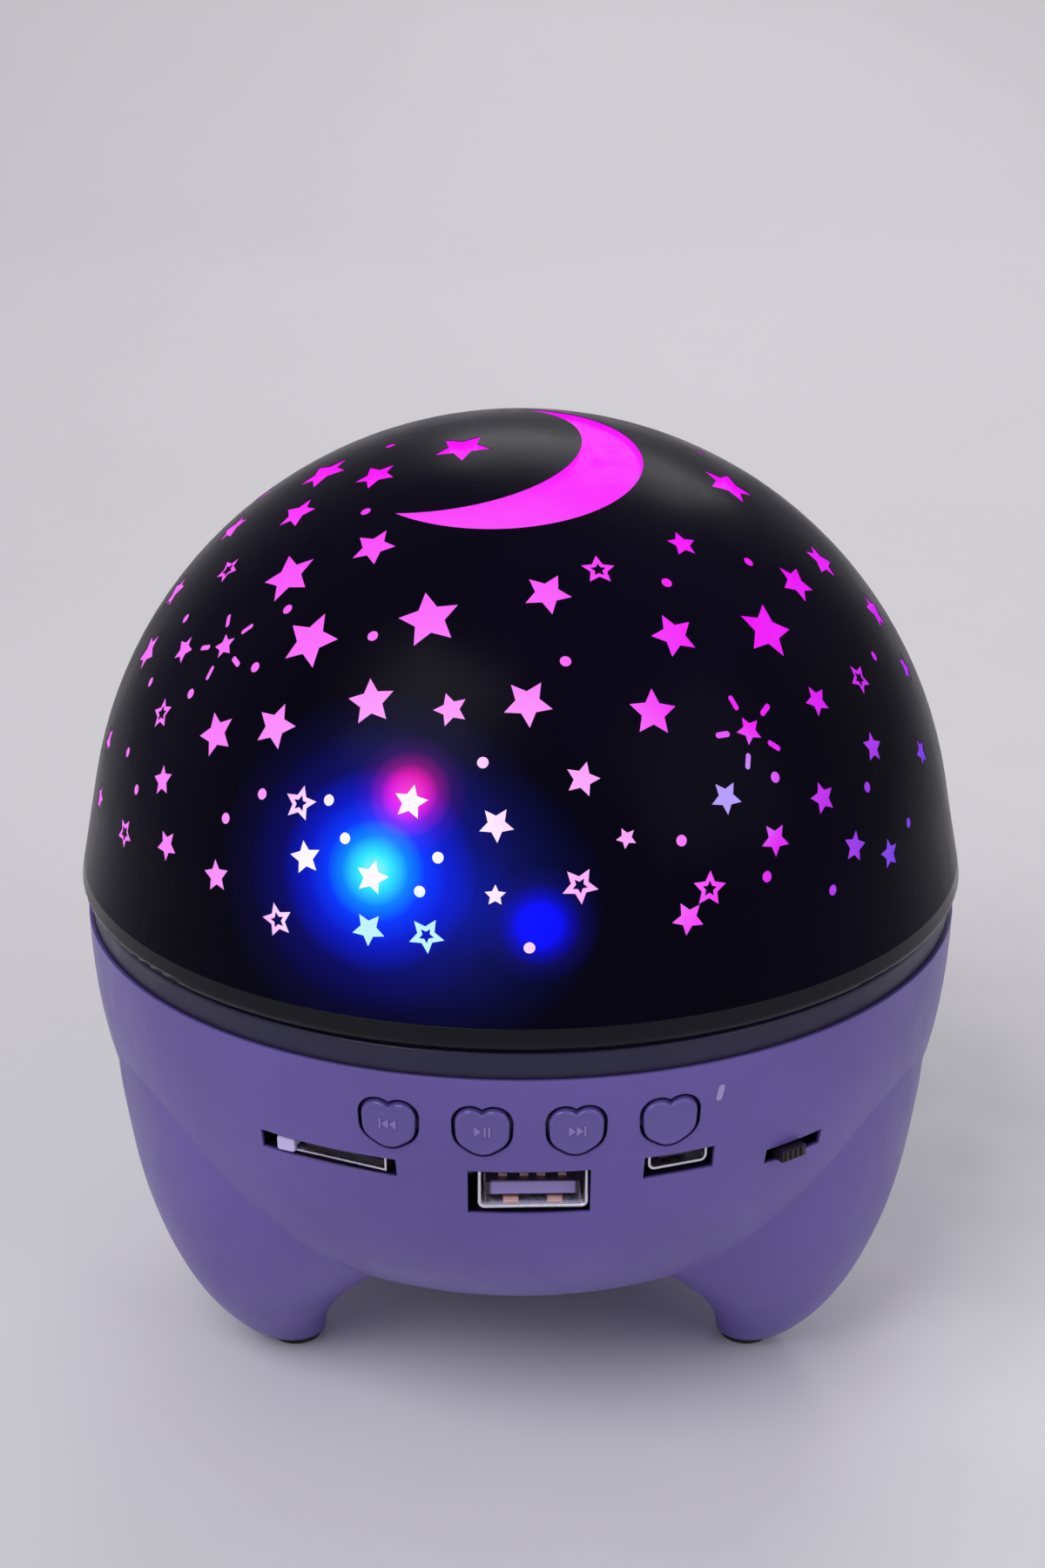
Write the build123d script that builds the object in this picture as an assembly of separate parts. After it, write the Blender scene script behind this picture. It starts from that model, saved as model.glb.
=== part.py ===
from build123d import *
import math
import os

# Night light speaker: a dome of stars that turns on a bowl with three legs.
# Millimetres. The origin is on the dome's axis at floor level, +Z is up and -Y is the front.
# An azimuth is in degrees from the front, positive to the right of someone who faces the object.

# Overall form
seam_height = 63.7
seam_gap = 0.6
bowl_radius = 57.6
bowl_depth = 51.3
bowl_roundness = 2.79
bowl_wall = 2.2
bowl_cut = 1.0
floor_thickness = 2.0
shell_steps = 10

# Clearances
running_clearance = 0.05
part_clearance = 0.3
glue_gap = 0.05
key_clearance = 0.45
gear_backlash = 0.2
slot_clearance = 0.3

# Dome
dome_inset = 0.9
dome_rise = 2.5
skirt_angle = 11.5
mask_thickness = 0.6
lens_thickness = 2.0
rim_height = 2.8
rim_wall = 2.7
rim_rounding = 1.0
rim_ledge_width = 6.1
rim_ledge_thickness = 1.6
peg_radius = 1.3
peg_height = 1.2
peg_inset = 3.7
peg_count = 3

# Moon, measured on the plane that touches the dome at its azimuth and elevation
moon_azimuth = 18
moon_elevation = 67
moon_outer_radius = 17.4
moon_inner_radius = 16.6
moon_centre = (-5.4, 13.5)
moon_shift = (-5.4, 5.2)
moon_depth = 12.0

# Stars on the front: azimuth and elevation in degrees, laid out by hand
star_waist = 0.49
big_star_radius = 3.75
medium_star_radius = 2.9
small_star_radius = 2.05
tiny_star_radius = 1.25
hollow_star_radius = 2.15
hollow_star_core = 0.42
dot_radius = 0.65
burst_star_radius = 1.8
burst_ray_start = 2.7
burst_ray_length = 1.9
burst_ray_width = 0.7
burst_tilt = 14
tilt_step = 23
window_depth = 1.5
big_stars = [(-37, 78), (-80, 64), (-49, 50), (-36, 43), (-16, 48), (44, 43), (75, 62)]
medium_stars = [
    (-56, 68), (-65, 58), (-86, 50), (-34, 57), (-84, 39), (5, 52), (-36, 32), (-22, 37),
    (1, 38), (19, 36), (59, 47), (-46, 29), (-76, 32), (26, 45), (74, 47), (80, 37),
]
small_stars = [
    (-63, 36), (-10, 37), (-77, 19), (-74, 12), (-54, 21), (-50, 14), (-14, 26), (-27, 18), (-3, 24),
    (-18, 17), (-40, 13), (-18, 11), (38, 57), (47, 33), (78, 29), (55, 25), (69, 20), (27, 25),
    (8, 29), (42, 22), (33, 19), (46, 15), (53, 12), (20, 12),
]
tiny_stars = [(-3, 16), (13, 22)]
hollow_stars = [(-68, 47), (-60, 28), (-61, 12), (-29, 24), (-30, 10), (-11, 11), (16, 55), (59, 33), (7, 17),
                (23, 15)]
bursts = [(33, 32), (-53, 39)]
dots = [
    (-78, 73), (-44, 62), (-69, 39), (-44, 38), (-25, 45), (-68, 30), (-55, 32), (-66, 21), (-60, 18),
    (-5, 31), (-40, 20), (-25, 25), (-22, 21), (-10, 20), (-12, 16), (1, 10), (29, 52), (51, 52), (7, 43),
    (67, 34), (51, 21), (20, 21), (59, 14), (31, 15), (41, 11), (-35, 24), (-44, 46), (35, 26),
]

# Stars on the back follow rows of equal elevation
back_rows = [16, 29, 42, 54, 66]
back_first_azimuth = 98
back_last_azimuth = 262
back_spacing = 11.5
row_shift = 7

# Legs: each is a rounded cone that leans out, given by its inner and outer edge
leg_azimuths = (-60, 60, 180)
leg_top_depth = 8.7
leg_top_inset = 1.1
leg_inner_top = -12.0
leg_roundness = 3.0
leg_outer_power = 0.77
leg_inner_power = 2.73
leg_steps = 9
leg_wall = 2.2
leg_bottom = 1.0
leg_tip_radius = 3.9
foot_circle = 35.6
foot_edge = 0.6
foot_recess = 1.2
foot_recess_clearance = 0.1
foot_floor_thickness = 1.6

# Upper deck
deck_rim_height = 3.3
deck_rim_inset = 0.6
deck_rim_lap = 2.0
deck_spigot_clearance = 0.3
deck_floor_drop = 1.5
deck_floor_thickness = 1.8
hub_radius = 9.5
hub_play = 0.4
track_inset = 7.6
track_width = 1.6
boss_azimuths = (-95, 95, 180)
boss_inset = 3.6
boss_radius = 3.3
boss_web = 2.4
boss_length = 18.0
post_radius = 3.2
deck_rim_rounding = 0.5

# Turntable, gear and motor
table_clearance = 0.4
table_thickness = 1.8
table_window_count = 6
table_window_radius = 5.5
table_window_inset = 10.5
gear_module = 0.8
tooth_tip_ratio = 0.85
tooth_root_ratio = 1.25
tooth_tip_width = 0.45
tooth_root_width = 1.3
gear_teeth = 60
pinion_teeth = 12
gear_height = 3.0
gear_rim_wall = 3.0
shaft_reach = 5.0
gear_azimuth = -100
pinion_height = 2.7
motor_shaft_radius = 1.0
motor_radius = 7.5
motor_can_radius = 6.2
motor_can_length = 12.0
motor_tail_radius = 2.5
motor_tail_length = 1.5
motor_boss_radius = 2.5
motor_ear_radius = 2.3
gearbox_length = 7.0
motor_ear_step = 3.0
motor_ear_thickness = 1.2

# Lamp
lamp_base_edge = 2.0
lamp_base_height = 3.0
lamp_base_chamfer = 0.8
lamp_board_edge = 0.95
board_thickness = 1.6
led_size = 3.5
led_height = 0.9
led_circle = 10.3
led_count = 6
led_first_azimuth = 0
lamp_lens_radius = 4.4
lamp_screw_room = 0.5

# Screws
deck_screw_radius = 1.3
deck_screw_grip = 9.0
small_screw_radius = 1.0
small_screw_grip = 5.0
lamp_screw_grip = 3.6
speaker_screw_grip = 3.0
screw_head_ratio = 1.9
screw_head_height_ratio = 1.1
pilot_clearance = 0.1

# Keys
key_azimuths = (-15.4, -4.4, 6.4, 17.5)
key_depth = 10.15
heart_lobe_radius = 1.8
heart_lobe_offset = 1.35
heart_lobe_height = 0.95
heart_belly_radius = 2.35
heart_belly_offset = 0.75
heart_belly_drop = 0.35
heart_tip_radius = 2.3
heart_tip_drop = 0.9
key_proud = 0.3
key_flange = 0.8
key_inset = 7.8
key_stem_radius = 1.1
key_stem_entry = 0.3
switch_size = 4.6
switch_depth = 2.0
switch_bore_depth = 1.6
switch_gap = 0.9
key_board_margin = 0.7
key_board_drop = 3.9
key_board_room = 1.0
bracket_thickness = 1.8
bracket_step = 2.0

# Status light
status_azimuth = 23.8
status_depth = 7.7
status_width = 0.9
status_height = 2.2
status_tilt = 14
status_led_size = 2.2
status_led_depth = 1.0

# Sockets and the main board: the room around a socket is left and right, then below and above
board_inset = 5.6
board_length = 44.0
board_drop = 14.0
card_azimuth = -23.7
card_width = 14.4
card_height = 1.9
card_length = 14.6
card_slot_sides = (2.0, 1.5)
card_slot_levels = (0.3, 0.3)
card_wall = 0.25
card_carrier_height = 0.4
card_carrier_recess = 1.2
card_latch_width = 2.2
card_latch_length = 5.0
usb_azimuth = 1.5
usb_width = 13.1
usb_height = 5.7
usb_length = 16.0
usb_wall = 0.35
usb_slot_sides = (1.1, 0.15)
usb_slot_levels = (0.6, 0.1)
usb_sink = 2.5
usb_depth = 18.9
usb_tongue_width = 11.0
usb_tongue_height = 1.6
usb_tongue_rise = -0.65
usb_tongue_recess = 1.0
usb_root_length = 3.0
usb_contact_shifts = (-3.5, -1.0, 1.0, 3.5)
usb_contact_recess = 1.3
usb_contact_width = 1.0
usb_contact_height = 0.3
charge_azimuth = 19.4
charge_width = 7.5
charge_height = 2.4
charge_length = 6.4
charge_wall = 0.3
charge_rounding = 0.9
charge_tongue_width = 4.0
charge_tongue_height = 0.6
charge_tongue_recess = 0.8
charge_slot_sides = (0.9, 0.5)
charge_slot_levels = (0.6, 0.05)
socket_sink = 2.0
socket_hole_reach = 7.5
slider_azimuth = 35.8
slider_depth = 18.9
slider_end_room = 1.6
slider_knob_length = 3.6
slider_knob_height = 1.5
slider_lever_length = 1.6
slider_travel = 2.0
slider_knob_reach = 3.9
slider_body_width = 9.0
slider_body_height = 3.6
slider_body_length = 4.0
slider_sink = 4.3
slider_groove_depth = 1.6
capacitor_radius = 2.5
capacitor_height = 6.0

# Places on the main board: to the right of the middle, and behind the board's front edge
main_post_places = ((-40, 38), (40, 38), (7, 22))
capacitor_places = ((34, 26), (-34, 25))
chip_places = ((-16, 22), (24, 30), (-30, 32), (14, 16))
chip_sizes = ((9, 9, 1.2), (6, 5, 1.2), (5, 4, 1.4), (4, 3, 1.0))
radio_place = (-2, 35)
radio_size = (16, 12, 2.2)

# Battery
cell_radius = 9.2
cell_y = 25.5
cell_drop = 2.7
cell_clearance = 0.3
tray_wall = 1.3
spring_length = 1.6
spring_radius = 3.0
tray_lip_height = 1.0
tray_ear_radius = 3.4
tray_ear_thickness = 2.0
tray_ear_rise = 2.5
tray_ear_step = 4.1
tray_room = 4.7
tray_end_width = 12.0

# Speaker
grille_step = 0.6
grille_thickness = 1.9
grille_edge = 1.8
grille_gap = 0.1
grille_hole_radius = 0.85
grille_rows = ((4.0, 6), (7.4, 12), (10.8, 18), (14.2, 24))
seat_ring_edge = 0.4
flange_width = 4.8
flange_thickness = 1.2
basket_top_radius = 12.5
basket_height = 10.0
basket_wall = 0.8
basket_mouth = 17.8
surround_width = 2.8
surround_thickness = 0.5
cone_neck_radius = 6.0
cone_height = 6.5
cone_thickness = 0.5
magnet_edge = 1.0
magnet_bore_gap = 0.8
pole_gap = 0.7
magnet_height = 7.0
yoke_height = 1.5
speaker_screw_inset = 1.8

# Places worked out from the sizes above
dome_radius = bowl_radius - dome_inset
dome_centre_z = seam_height + dome_rise
lip_z = seam_height + seam_gap / 2
rim_top = lip_z + rim_height
floor_height = seam_height - bowl_depth + bowl_cut
inside_floor = floor_height + floor_thickness
leg_outer_top = bowl_radius - leg_top_inset
foot_radius = leg_tip_radius - foot_edge
deck_rim_top = seam_height - seam_gap / 2
housing_top = deck_rim_top - deck_rim_height
deck_bottom = housing_top - deck_floor_drop
deck_floor = deck_bottom + deck_floor_thickness
deck_spigot_radius = bowl_radius - bowl_wall - deck_spigot_clearance
deck_rim_radius = bowl_radius - deck_rim_inset
deck_rim_inner = deck_spigot_radius - deck_rim_lap
boss_circle = deck_rim_inner - boss_inset
track_radius = deck_rim_inner - track_inset
gear_low = deck_floor + part_clearance
table_low = gear_low + gear_height
table_top = table_low + table_thickness
table_window_circle = track_radius - table_window_inset
hub_top = table_top + hub_play
gear_inner_radius = gear_module * (gear_teeth / 2 - tooth_root_ratio) - gear_rim_wall
gear_distance = gear_module * (gear_teeth + pinion_teeth) / 2 + gear_backlash / 2
shaft_low = deck_bottom - shaft_reach
motor_ear_reach = motor_radius + motor_ear_step
lamp_board_low = hub_top + lamp_base_height
lamp_board_top = lamp_board_low + board_thickness
lamp_board_radius = led_circle + led_size / 2 + lamp_board_edge
lamp_base_radius = lamp_board_radius + lamp_base_edge
lamp_screw_reach = lamp_lens_radius + small_screw_radius * screw_head_ratio + lamp_screw_room
lamp_screw_xs = (-lamp_screw_reach, lamp_screw_reach)
board_radius = bowl_radius - board_inset
board_rear = board_length - board_radius
board_low = deck_bottom - board_drop
board_top = board_low + board_thickness
main_posts = [(x, back - board_radius) for x, back in main_post_places]
key_z = seam_height - key_depth
key_xs = [bowl_radius * math.sin(math.radians(azimuth)) for azimuth in key_azimuths]
key_back = bowl_radius - key_inset
switch_front = key_back - switch_gap
key_board_front = switch_front - switch_depth
key_board_back = key_board_front - board_thickness
key_board_low = key_z - key_board_drop
key_board_high = deck_bottom - key_board_room
key_screw_xs = [(key_xs[0] + key_xs[1]) / 2, (key_xs[2] + key_xs[3]) / 2]
status_x = bowl_radius * math.sin(math.radians(status_azimuth))
status_z = seam_height - status_depth
status_pipe_back = key_board_front + status_led_depth + part_clearance
key_board_side = status_x + status_led_size / 2 + key_board_margin
bracket_side = key_board_side - bracket_step
bracket_back = key_board_back - bracket_thickness
socket_radius = bowl_radius - socket_sink
card_z = board_top + card_height / 2
charge_z = board_top + charge_height / 2
usb_z = seam_height - usb_depth
usb_tongue_z = usb_z + usb_tongue_rise
usb_front = bowl_radius - usb_sink
usb_back = usb_front - usb_length
slider_z = seam_height - slider_depth
slider_front = bowl_radius - slider_sink
deck_screw_tip = deck_bottom - deck_screw_grip
board_screw_tip = board_top + small_screw_grip
cell_z = deck_bottom - cell_drop - cell_radius
tray_radius = cell_radius + cell_clearance + tray_wall
tray_reach = bowl_radius - bowl_wall - tray_room
tray_half = math.sqrt(tray_reach**2 - (cell_y + tray_radius) ** 2)
cell_length = 2 * (tray_half - tray_wall - spring_length)
tray_ear_low = cell_z + tray_ear_rise
tray_ear_top = tray_ear_low + tray_ear_thickness
tray_ear_xs = (-tray_half - tray_ear_step, tray_half + tray_ear_step)
tray_screw_tip = tray_ear_top + small_screw_grip
motor_screw_tip = deck_bottom + deck_floor_thickness
lamp_screw_tip = hub_top - lamp_screw_grip
grille_radius = basket_mouth + grille_step
grille_opening = grille_radius - grille_edge
flange_radius = basket_mouth + flange_width
seat_ring_radius = flange_radius + seat_ring_edge
speaker_height = inside_floor + grille_thickness + grille_gap
speaker_screw_circle = flange_radius - speaker_screw_inset
speaker_screw_tip = speaker_height - speaker_screw_grip
speaker_screw_azimuths = [45, 135, 225, 315]
magnet_radius = basket_top_radius + magnet_edge
magnet_bore_radius = cone_neck_radius + magnet_bore_gap
pole_radius = cone_neck_radius - cone_thickness - pole_gap

BASE = (Align.CENTER, Align.CENTER, Align.MIN)


def at_azimuth(radius, azimuth, z=0.0):
    angle = math.radians(azimuth)
    return Vector(radius * math.sin(angle), -radius * math.cos(angle), z)


def wall_plane(radius, azimuth, z):
    """An upright plane that faces outward, with its X to the right and its Y up."""
    angle = math.radians(azimuth)
    outward = (math.sin(angle), -math.cos(angle), 0)
    return Plane(at_azimuth(radius, azimuth, z), x_dir=(math.cos(angle), math.sin(angle), 0), z_dir=outward)


def dome_plane(azimuth, elevation):
    """The plane that touches the dome, with its Y towards the top of the dome."""
    turn = math.radians(azimuth)
    lift = math.radians(elevation)
    normal = Vector(math.cos(lift) * math.sin(turn), -math.cos(lift) * math.cos(turn), math.sin(lift))
    centre = Vector(0, 0, dome_centre_z)
    return Plane(centre + normal * dome_radius, x_dir=(math.cos(turn), math.sin(turn), 0), z_dir=normal)


def disc(radius, low, high, x=0.0, y=0.0):
    return Pos(x, y, low) * Cylinder(radius, high - low, align=BASE)


def ring(outer, inner, low, high, x=0.0, y=0.0):
    return disc(outer, low, high, x, y) - disc(inner, low, high, x, y)


def block(x_range, y_range, z_range):
    size = [high - low for low, high in (x_range, y_range, z_range)]
    centre = [(low + high) / 2 for low, high in (x_range, y_range, z_range)]
    return Pos(*centre) * Box(*size)


def rod(radius, x_range, y, z):
    """A round bar along X."""
    length = x_range[1] - x_range[0]
    return Pos((x_range[0] + x_range[1]) / 2, y, z) * Rot(0, 90, 0) * Cylinder(radius, length)


def spin(points):
    """A solid turned about the Z axis from a closed outline of (radius, z) points."""
    outline = Polyline(*[(r, 0, z) for r, z in points], close=True)
    return revolve(make_face(outline), Axis.Z)


def screw(radius, tip, seat, x, y):
    """A pan head screw along Z: its head lies beyond the seat, on the side away from its tip."""
    away = 1 if seat > tip else -1
    head_end = seat + away * radius * screw_head_height_ratio
    shank = disc(radius, min(tip, seat), max(tip, seat), x, y)
    head = disc(radius * screw_head_ratio, min(seat, head_end), max(seat, head_end), x, y)
    return shank + head


def aside(shape, azimuth, shift):
    """A shape on the wall at an azimuth, moved level along the wall to the right."""
    angle = math.radians(azimuth)
    return Pos(shift * math.cos(angle), shift * math.sin(angle), 0) * shape


def around(shape, azimuths):
    """Copies of a shape made at the front, turned to each azimuth."""
    return [Rot(0, 0, azimuth) * shape for azimuth in azimuths]


def even_azimuths(count, first=0.0):
    return [first + 360 * step / count for step in range(count)]


# The bowl and its legs


def bowl_point(share, inset):
    """A point of the bowl's section: share runs from 0 at the rim to 1 at the bottom."""
    angle = share * math.pi / 2
    power = 2 / bowl_roundness
    r = bowl_radius * math.cos(angle) ** power
    depth = bowl_depth * math.sin(angle) ** power
    slope_r = (r / bowl_radius) ** (bowl_roundness - 1) / bowl_radius
    slope_z = (depth / bowl_depth) ** (bowl_roundness - 1) / bowl_depth
    length = math.hypot(slope_r, slope_z)
    return r - inset * slope_r / length, seam_height - depth + inset * slope_z / length


def bowl_solid(inset, low, high):
    """The round body of the bowl, drawn in by an inset and cut off level between two heights."""
    points = [bowl_point(step / shell_steps, inset) for step in range(shell_steps)]
    bottom = seam_height - bowl_depth + inset
    rim, start = points[0]
    curve = Spline(*[(r, 0, z) for r, z in points], (0, 0, bottom), tangents=[(0, 0, -1), (-1, 0, 0)])
    body = revolve(make_face(curve + Polyline((0, 0, bottom), (0, 0, start), (rim, 0, start))), Axis.Z)
    return body & disc(bowl_radius + 1, low, high)


def leg_section(share, inset):
    """Centre and radius of a leg's round section: share runs from 0 at its top to 1 at its tip."""
    fullness = 1 - share**leg_roundness
    outer_tip = foot_circle + leg_tip_radius
    inner_tip = foot_circle - leg_tip_radius
    outer = outer_tip + (leg_outer_top - outer_tip) * fullness**leg_outer_power
    inner = inner_tip + (leg_inner_top - inner_tip) * fullness**leg_inner_power
    return (outer + inner) / 2, (outer - inner) / 2 - inset


def leg_solid(inset, low):
    """One leg at the front: a loft of level circles from inside the bowl down to the foot."""
    top = seam_height - leg_top_depth
    sections = []
    for step in range(leg_steps + 1):
        share = math.sin(step / leg_steps * math.pi / 2)
        centre, radius = leg_section(share, inset)
        sections.append(Plane((0, -centre, top + (low - top) * share)) * Circle(radius))
    return loft(sections)


def make_lower_housing():
    """The bowl and its three hollow legs, moulded in one shell."""
    body = bowl_solid(0, floor_height, housing_top) + around(leg_solid(0, leg_bottom), leg_azimuths)
    hollow_low = leg_bottom + foot_recess + foot_floor_thickness
    cavity = bowl_solid(bowl_wall, inside_floor, seam_height)
    body = body - cavity - around(leg_solid(leg_wall, hollow_low), leg_azimuths)
    body = body + disc(seat_ring_radius, inside_floor, speaker_height)
    body = body - disc(grille_radius + part_clearance, inside_floor, speaker_height)
    boss_low = deck_bottom - boss_length
    boss = disc(boss_radius, boss_low, deck_bottom, 0, -boss_circle)
    boss = boss + block((-boss_web / 2, boss_web / 2), (-bowl_radius, -boss_circle), (boss_low, deck_bottom))
    inner_side = bowl_solid(bowl_wall / 2, floor_height, seam_height)
    body = body + [web & inner_side for web in around(boss, boss_azimuths)]
    return body - housing_holes()


def housing_holes():
    """Every hole in the lower housing's wall and floor."""
    outside = bowl_radius + 1
    inside = bowl_radius - socket_hole_reach
    holes = [heart_prism(x, key_clearance, key_back) for x in key_xs]
    holes.append(status_prism(0, key_board_front))
    usb_size = (usb_width, usb_height)
    holes.append(socket_hole(usb_azimuth, usb_z, usb_size, usb_slot_sides, usb_slot_levels))
    card_size = (card_width, card_height)
    holes.append(socket_hole(card_azimuth, card_z, card_size, card_slot_sides, card_slot_levels))
    charge_size = (charge_width, charge_height)
    holes.append(socket_hole(charge_azimuth, charge_z, charge_size, charge_slot_sides, charge_slot_levels))
    slot_length = slider_knob_length + slider_travel + 2 * slider_end_room
    slider_hole = Rectangle(slot_length, slider_knob_height + 2 * slot_clearance)
    slider_plane = wall_plane(inside, slider_azimuth, slider_z)
    holes.append(extrude(slider_plane * slider_hole, outside - inside))
    holes.append(disc(grille_opening, 0, inside_floor + 1))
    foot_hole = disc(foot_radius + foot_recess_clearance, 0, leg_bottom + foot_recess, 0, -foot_circle)
    holes.extend(around(foot_hole, leg_azimuths))
    deck_hole = disc(deck_screw_radius, deck_screw_tip, deck_bottom, 0, -boss_circle)
    holes.extend(around(deck_hole, boss_azimuths))
    speaker_hole = disc(small_screw_radius, speaker_screw_tip, speaker_height, 0, -speaker_screw_circle)
    holes.extend(around(speaker_hole, speaker_screw_azimuths))
    return holes


def make_rubber_feet():
    foot = disc(foot_radius, 0, leg_bottom + foot_recess, 0, -foot_circle)
    return around(foot, leg_azimuths)


# Shapes in the bowl's wall


def heart_face(margin):
    """A rounded heart, drawn out on every side by a margin."""
    halves = []
    for side in (-1, 1):
        lobe = Pos(side * heart_lobe_offset, heart_lobe_height) * Circle(heart_lobe_radius + margin)
        belly = Pos(side * heart_belly_offset, -heart_belly_drop) * Circle(heart_belly_radius + margin)
        tip = Pos(0, -heart_tip_drop) * Circle(heart_tip_radius + margin)
        halves.append(make_hull(lobe.edges() + belly.edges() + tip.edges()))
    return halves[0] + halves[1]


def front_prism(face, x, z, back):
    """A face seen from the front, drawn along Y from outside the bowl to a distance from the axis."""
    start = bowl_radius + 1
    plane = Plane((x, -start, z), x_dir=(1, 0, 0), z_dir=(0, -1, 0))
    return extrude(plane * face, back - start)


def heart_prism(x, margin, back):
    return front_prism(heart_face(margin), x, key_z, back)


def status_prism(margin, back):
    outline = SlotOverall(status_height + 2 * margin, status_width + 2 * margin)
    return front_prism(Rot(0, 0, 90 - status_tilt) * outline, status_x, status_z, back)


def wall_box(azimuth, z, width, height, near, far):
    """A box that lies along a radius of the bowl, between two distances from the axis."""
    return extrude(wall_plane(near, azimuth, z) * Rectangle(width, height), far - near)


def socket_hole(azimuth, z, size, sides, levels):
    """A hole through the wall around a socket, with its own room left, right, below and above."""
    left, right = sides
    below, above = levels
    width = size[0] + left + right
    height = size[1] + below + above
    near = bowl_radius - socket_hole_reach
    hole = wall_box(azimuth, z + (above - below) / 2, width, height, near, bowl_radius + 1)
    return aside(hole, azimuth, (right - left) / 2)


def make_heart_key(x):
    """One key: a heart through the wall, a flange behind the wall and a stem into its switch."""
    cap = heart_prism(x, 0, key_back) & bowl_solid(-key_proud, floor_height, seam_height)
    behind_wall = bowl_solid(bowl_wall + part_clearance, floor_height, seam_height)
    flange = heart_prism(x, key_flange, key_back) & behind_wall
    stem_plane = Plane((x, -key_back, key_z), x_dir=(1, 0, 0), z_dir=(0, 1, 0))
    stem = extrude(stem_plane * Circle(key_stem_radius), key_back - switch_front + key_stem_entry)
    return cap + flange + stem


def make_key_switches():
    """The four switch bodies behind the keys, each with a bore for its key's stem."""
    switches = []
    for x in key_xs:
        plane = Plane((x, -key_board_front, key_z), x_dir=(1, 0, 0), z_dir=(0, -1, 0))
        body = extrude(plane * Rectangle(switch_size, switch_size), switch_depth)
        bore_plane = Plane((x, -switch_front, key_z), x_dir=(1, 0, 0), z_dir=(0, 1, 0))
        bore = extrude(bore_plane * Circle(key_stem_radius + part_clearance), switch_bore_depth)
        switches.append(body - bore)
    return switches


def key_screw_holes(radius, near, far):
    """Round bars along Y at the key board's two screws."""
    bars = []
    for x in key_screw_xs:
        plane = Plane((x, -far, key_z), x_dir=(1, 0, 0), z_dir=(0, 1, 0))
        bars.append(extrude(plane * Circle(radius), far - near))
    return bars


def make_key_board():
    x_range = (-key_board_side, key_board_side)
    board = block(x_range, (-key_board_front, -key_board_back), (key_board_low, key_board_high))
    return board - key_screw_holes(small_screw_radius + pilot_clearance, key_board_back, key_board_front)


def make_key_board_screws():
    shanks = key_screw_holes(small_screw_radius, bracket_back, key_board_front)
    head_end = key_board_front + small_screw_radius * screw_head_height_ratio
    heads = key_screw_holes(small_screw_radius * screw_head_ratio, key_board_front, head_end)
    return [shank + head for shank, head in zip(shanks, heads)]


def make_status_light():
    """A clear pipe from the bowl's surface to just before its light."""
    pipe = status_prism(-glue_gap, status_pipe_back)
    return pipe & bowl_solid(-glue_gap, floor_height, seam_height)


def make_status_led():
    plane = Plane((status_x, -key_board_front, status_z), x_dir=(1, 0, 0), z_dir=(0, -1, 0))
    return extrude(plane * Rectangle(status_led_size, status_led_size), status_led_depth)


# Sockets and the slide switch


def make_card_socket():
    """A flat steel shell, open to the front, around the space for a card."""
    back = socket_radius - card_length
    shell = wall_box(card_azimuth, card_z, card_width, card_height, back, socket_radius)
    width = card_width - 2 * card_wall
    height = card_height - 2 * card_wall
    return shell - wall_box(card_azimuth, card_z, width, height, back + card_wall, socket_radius)


def make_card_carrier():
    """The black insert at the bottom of the card socket, which holds its contacts."""
    back = socket_radius - card_length + card_wall
    z = card_z - card_height / 2 + card_wall + card_carrier_height / 2
    width = card_width - 2 * card_wall
    return wall_box(card_azimuth, z, width, card_carrier_height, back, socket_radius - card_carrier_recess)


def make_card_latch():
    """The bright metal catch at the left end of the card socket's mouth."""
    height = card_height - 2 * card_wall - card_carrier_height
    z = card_z + card_height / 2 - card_wall - height / 2
    front = socket_radius - card_wall
    latch = wall_box(card_azimuth, z, card_latch_width, height, front - card_latch_length, front)
    return aside(latch, card_azimuth, card_wall + (card_latch_width - card_width) / 2)


def make_usb_shell():
    """A steel box open to the front."""
    shell = wall_box(usb_azimuth, usb_z, usb_width, usb_height, usb_back, usb_front)
    width = usb_width - 2 * usb_wall
    height = usb_height - 2 * usb_wall
    return shell - wall_box(usb_azimuth, usb_z, width, height, usb_back + usb_wall, usb_front)


def make_usb_tongue():
    """The plastic tongue, with a block at its root that fills the back of the shell."""
    back = usb_back + usb_wall
    front = usb_front - usb_tongue_recess
    tongue = wall_box(usb_azimuth, usb_tongue_z, usb_tongue_width, usb_tongue_height, back, front)
    width = usb_width - 2 * usb_wall
    height = usb_height - 2 * usb_wall
    root = wall_box(usb_azimuth, usb_z, width, height, back, back + usb_root_length)
    return tongue + root


def make_usb_contacts():
    """Four flat springs on the tongue's upper face."""
    z = usb_tongue_z + usb_tongue_height / 2 + usb_contact_height / 2
    back = usb_back + usb_wall + usb_root_length
    front = usb_front - usb_tongue_recess - usb_contact_recess
    strip = wall_box(usb_azimuth, z, usb_contact_width, usb_contact_height, back, front)
    return [aside(strip, usb_azimuth, shift) for shift in usb_contact_shifts]


def make_charge_socket():
    """A rounded steel shell, open to the front."""
    back = socket_radius - charge_length
    plane = wall_plane(back, charge_azimuth, charge_z)
    outer = RectangleRounded(charge_width, charge_height, charge_rounding)
    width = charge_width - 2 * charge_wall
    height = charge_height - 2 * charge_wall
    inner = RectangleRounded(width, height, charge_rounding - charge_wall)
    shell = extrude(plane * outer, charge_length)
    return shell - extrude(plane.offset(charge_wall) * inner, charge_length)


def make_charge_tongue():
    back = socket_radius - charge_length + charge_wall
    front = socket_radius - charge_tongue_recess
    return wall_box(charge_azimuth, charge_z, charge_tongue_width, charge_tongue_height, back, front)


def slider_plane_at(radius):
    return wall_plane(radius, slider_azimuth, slider_z)


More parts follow.
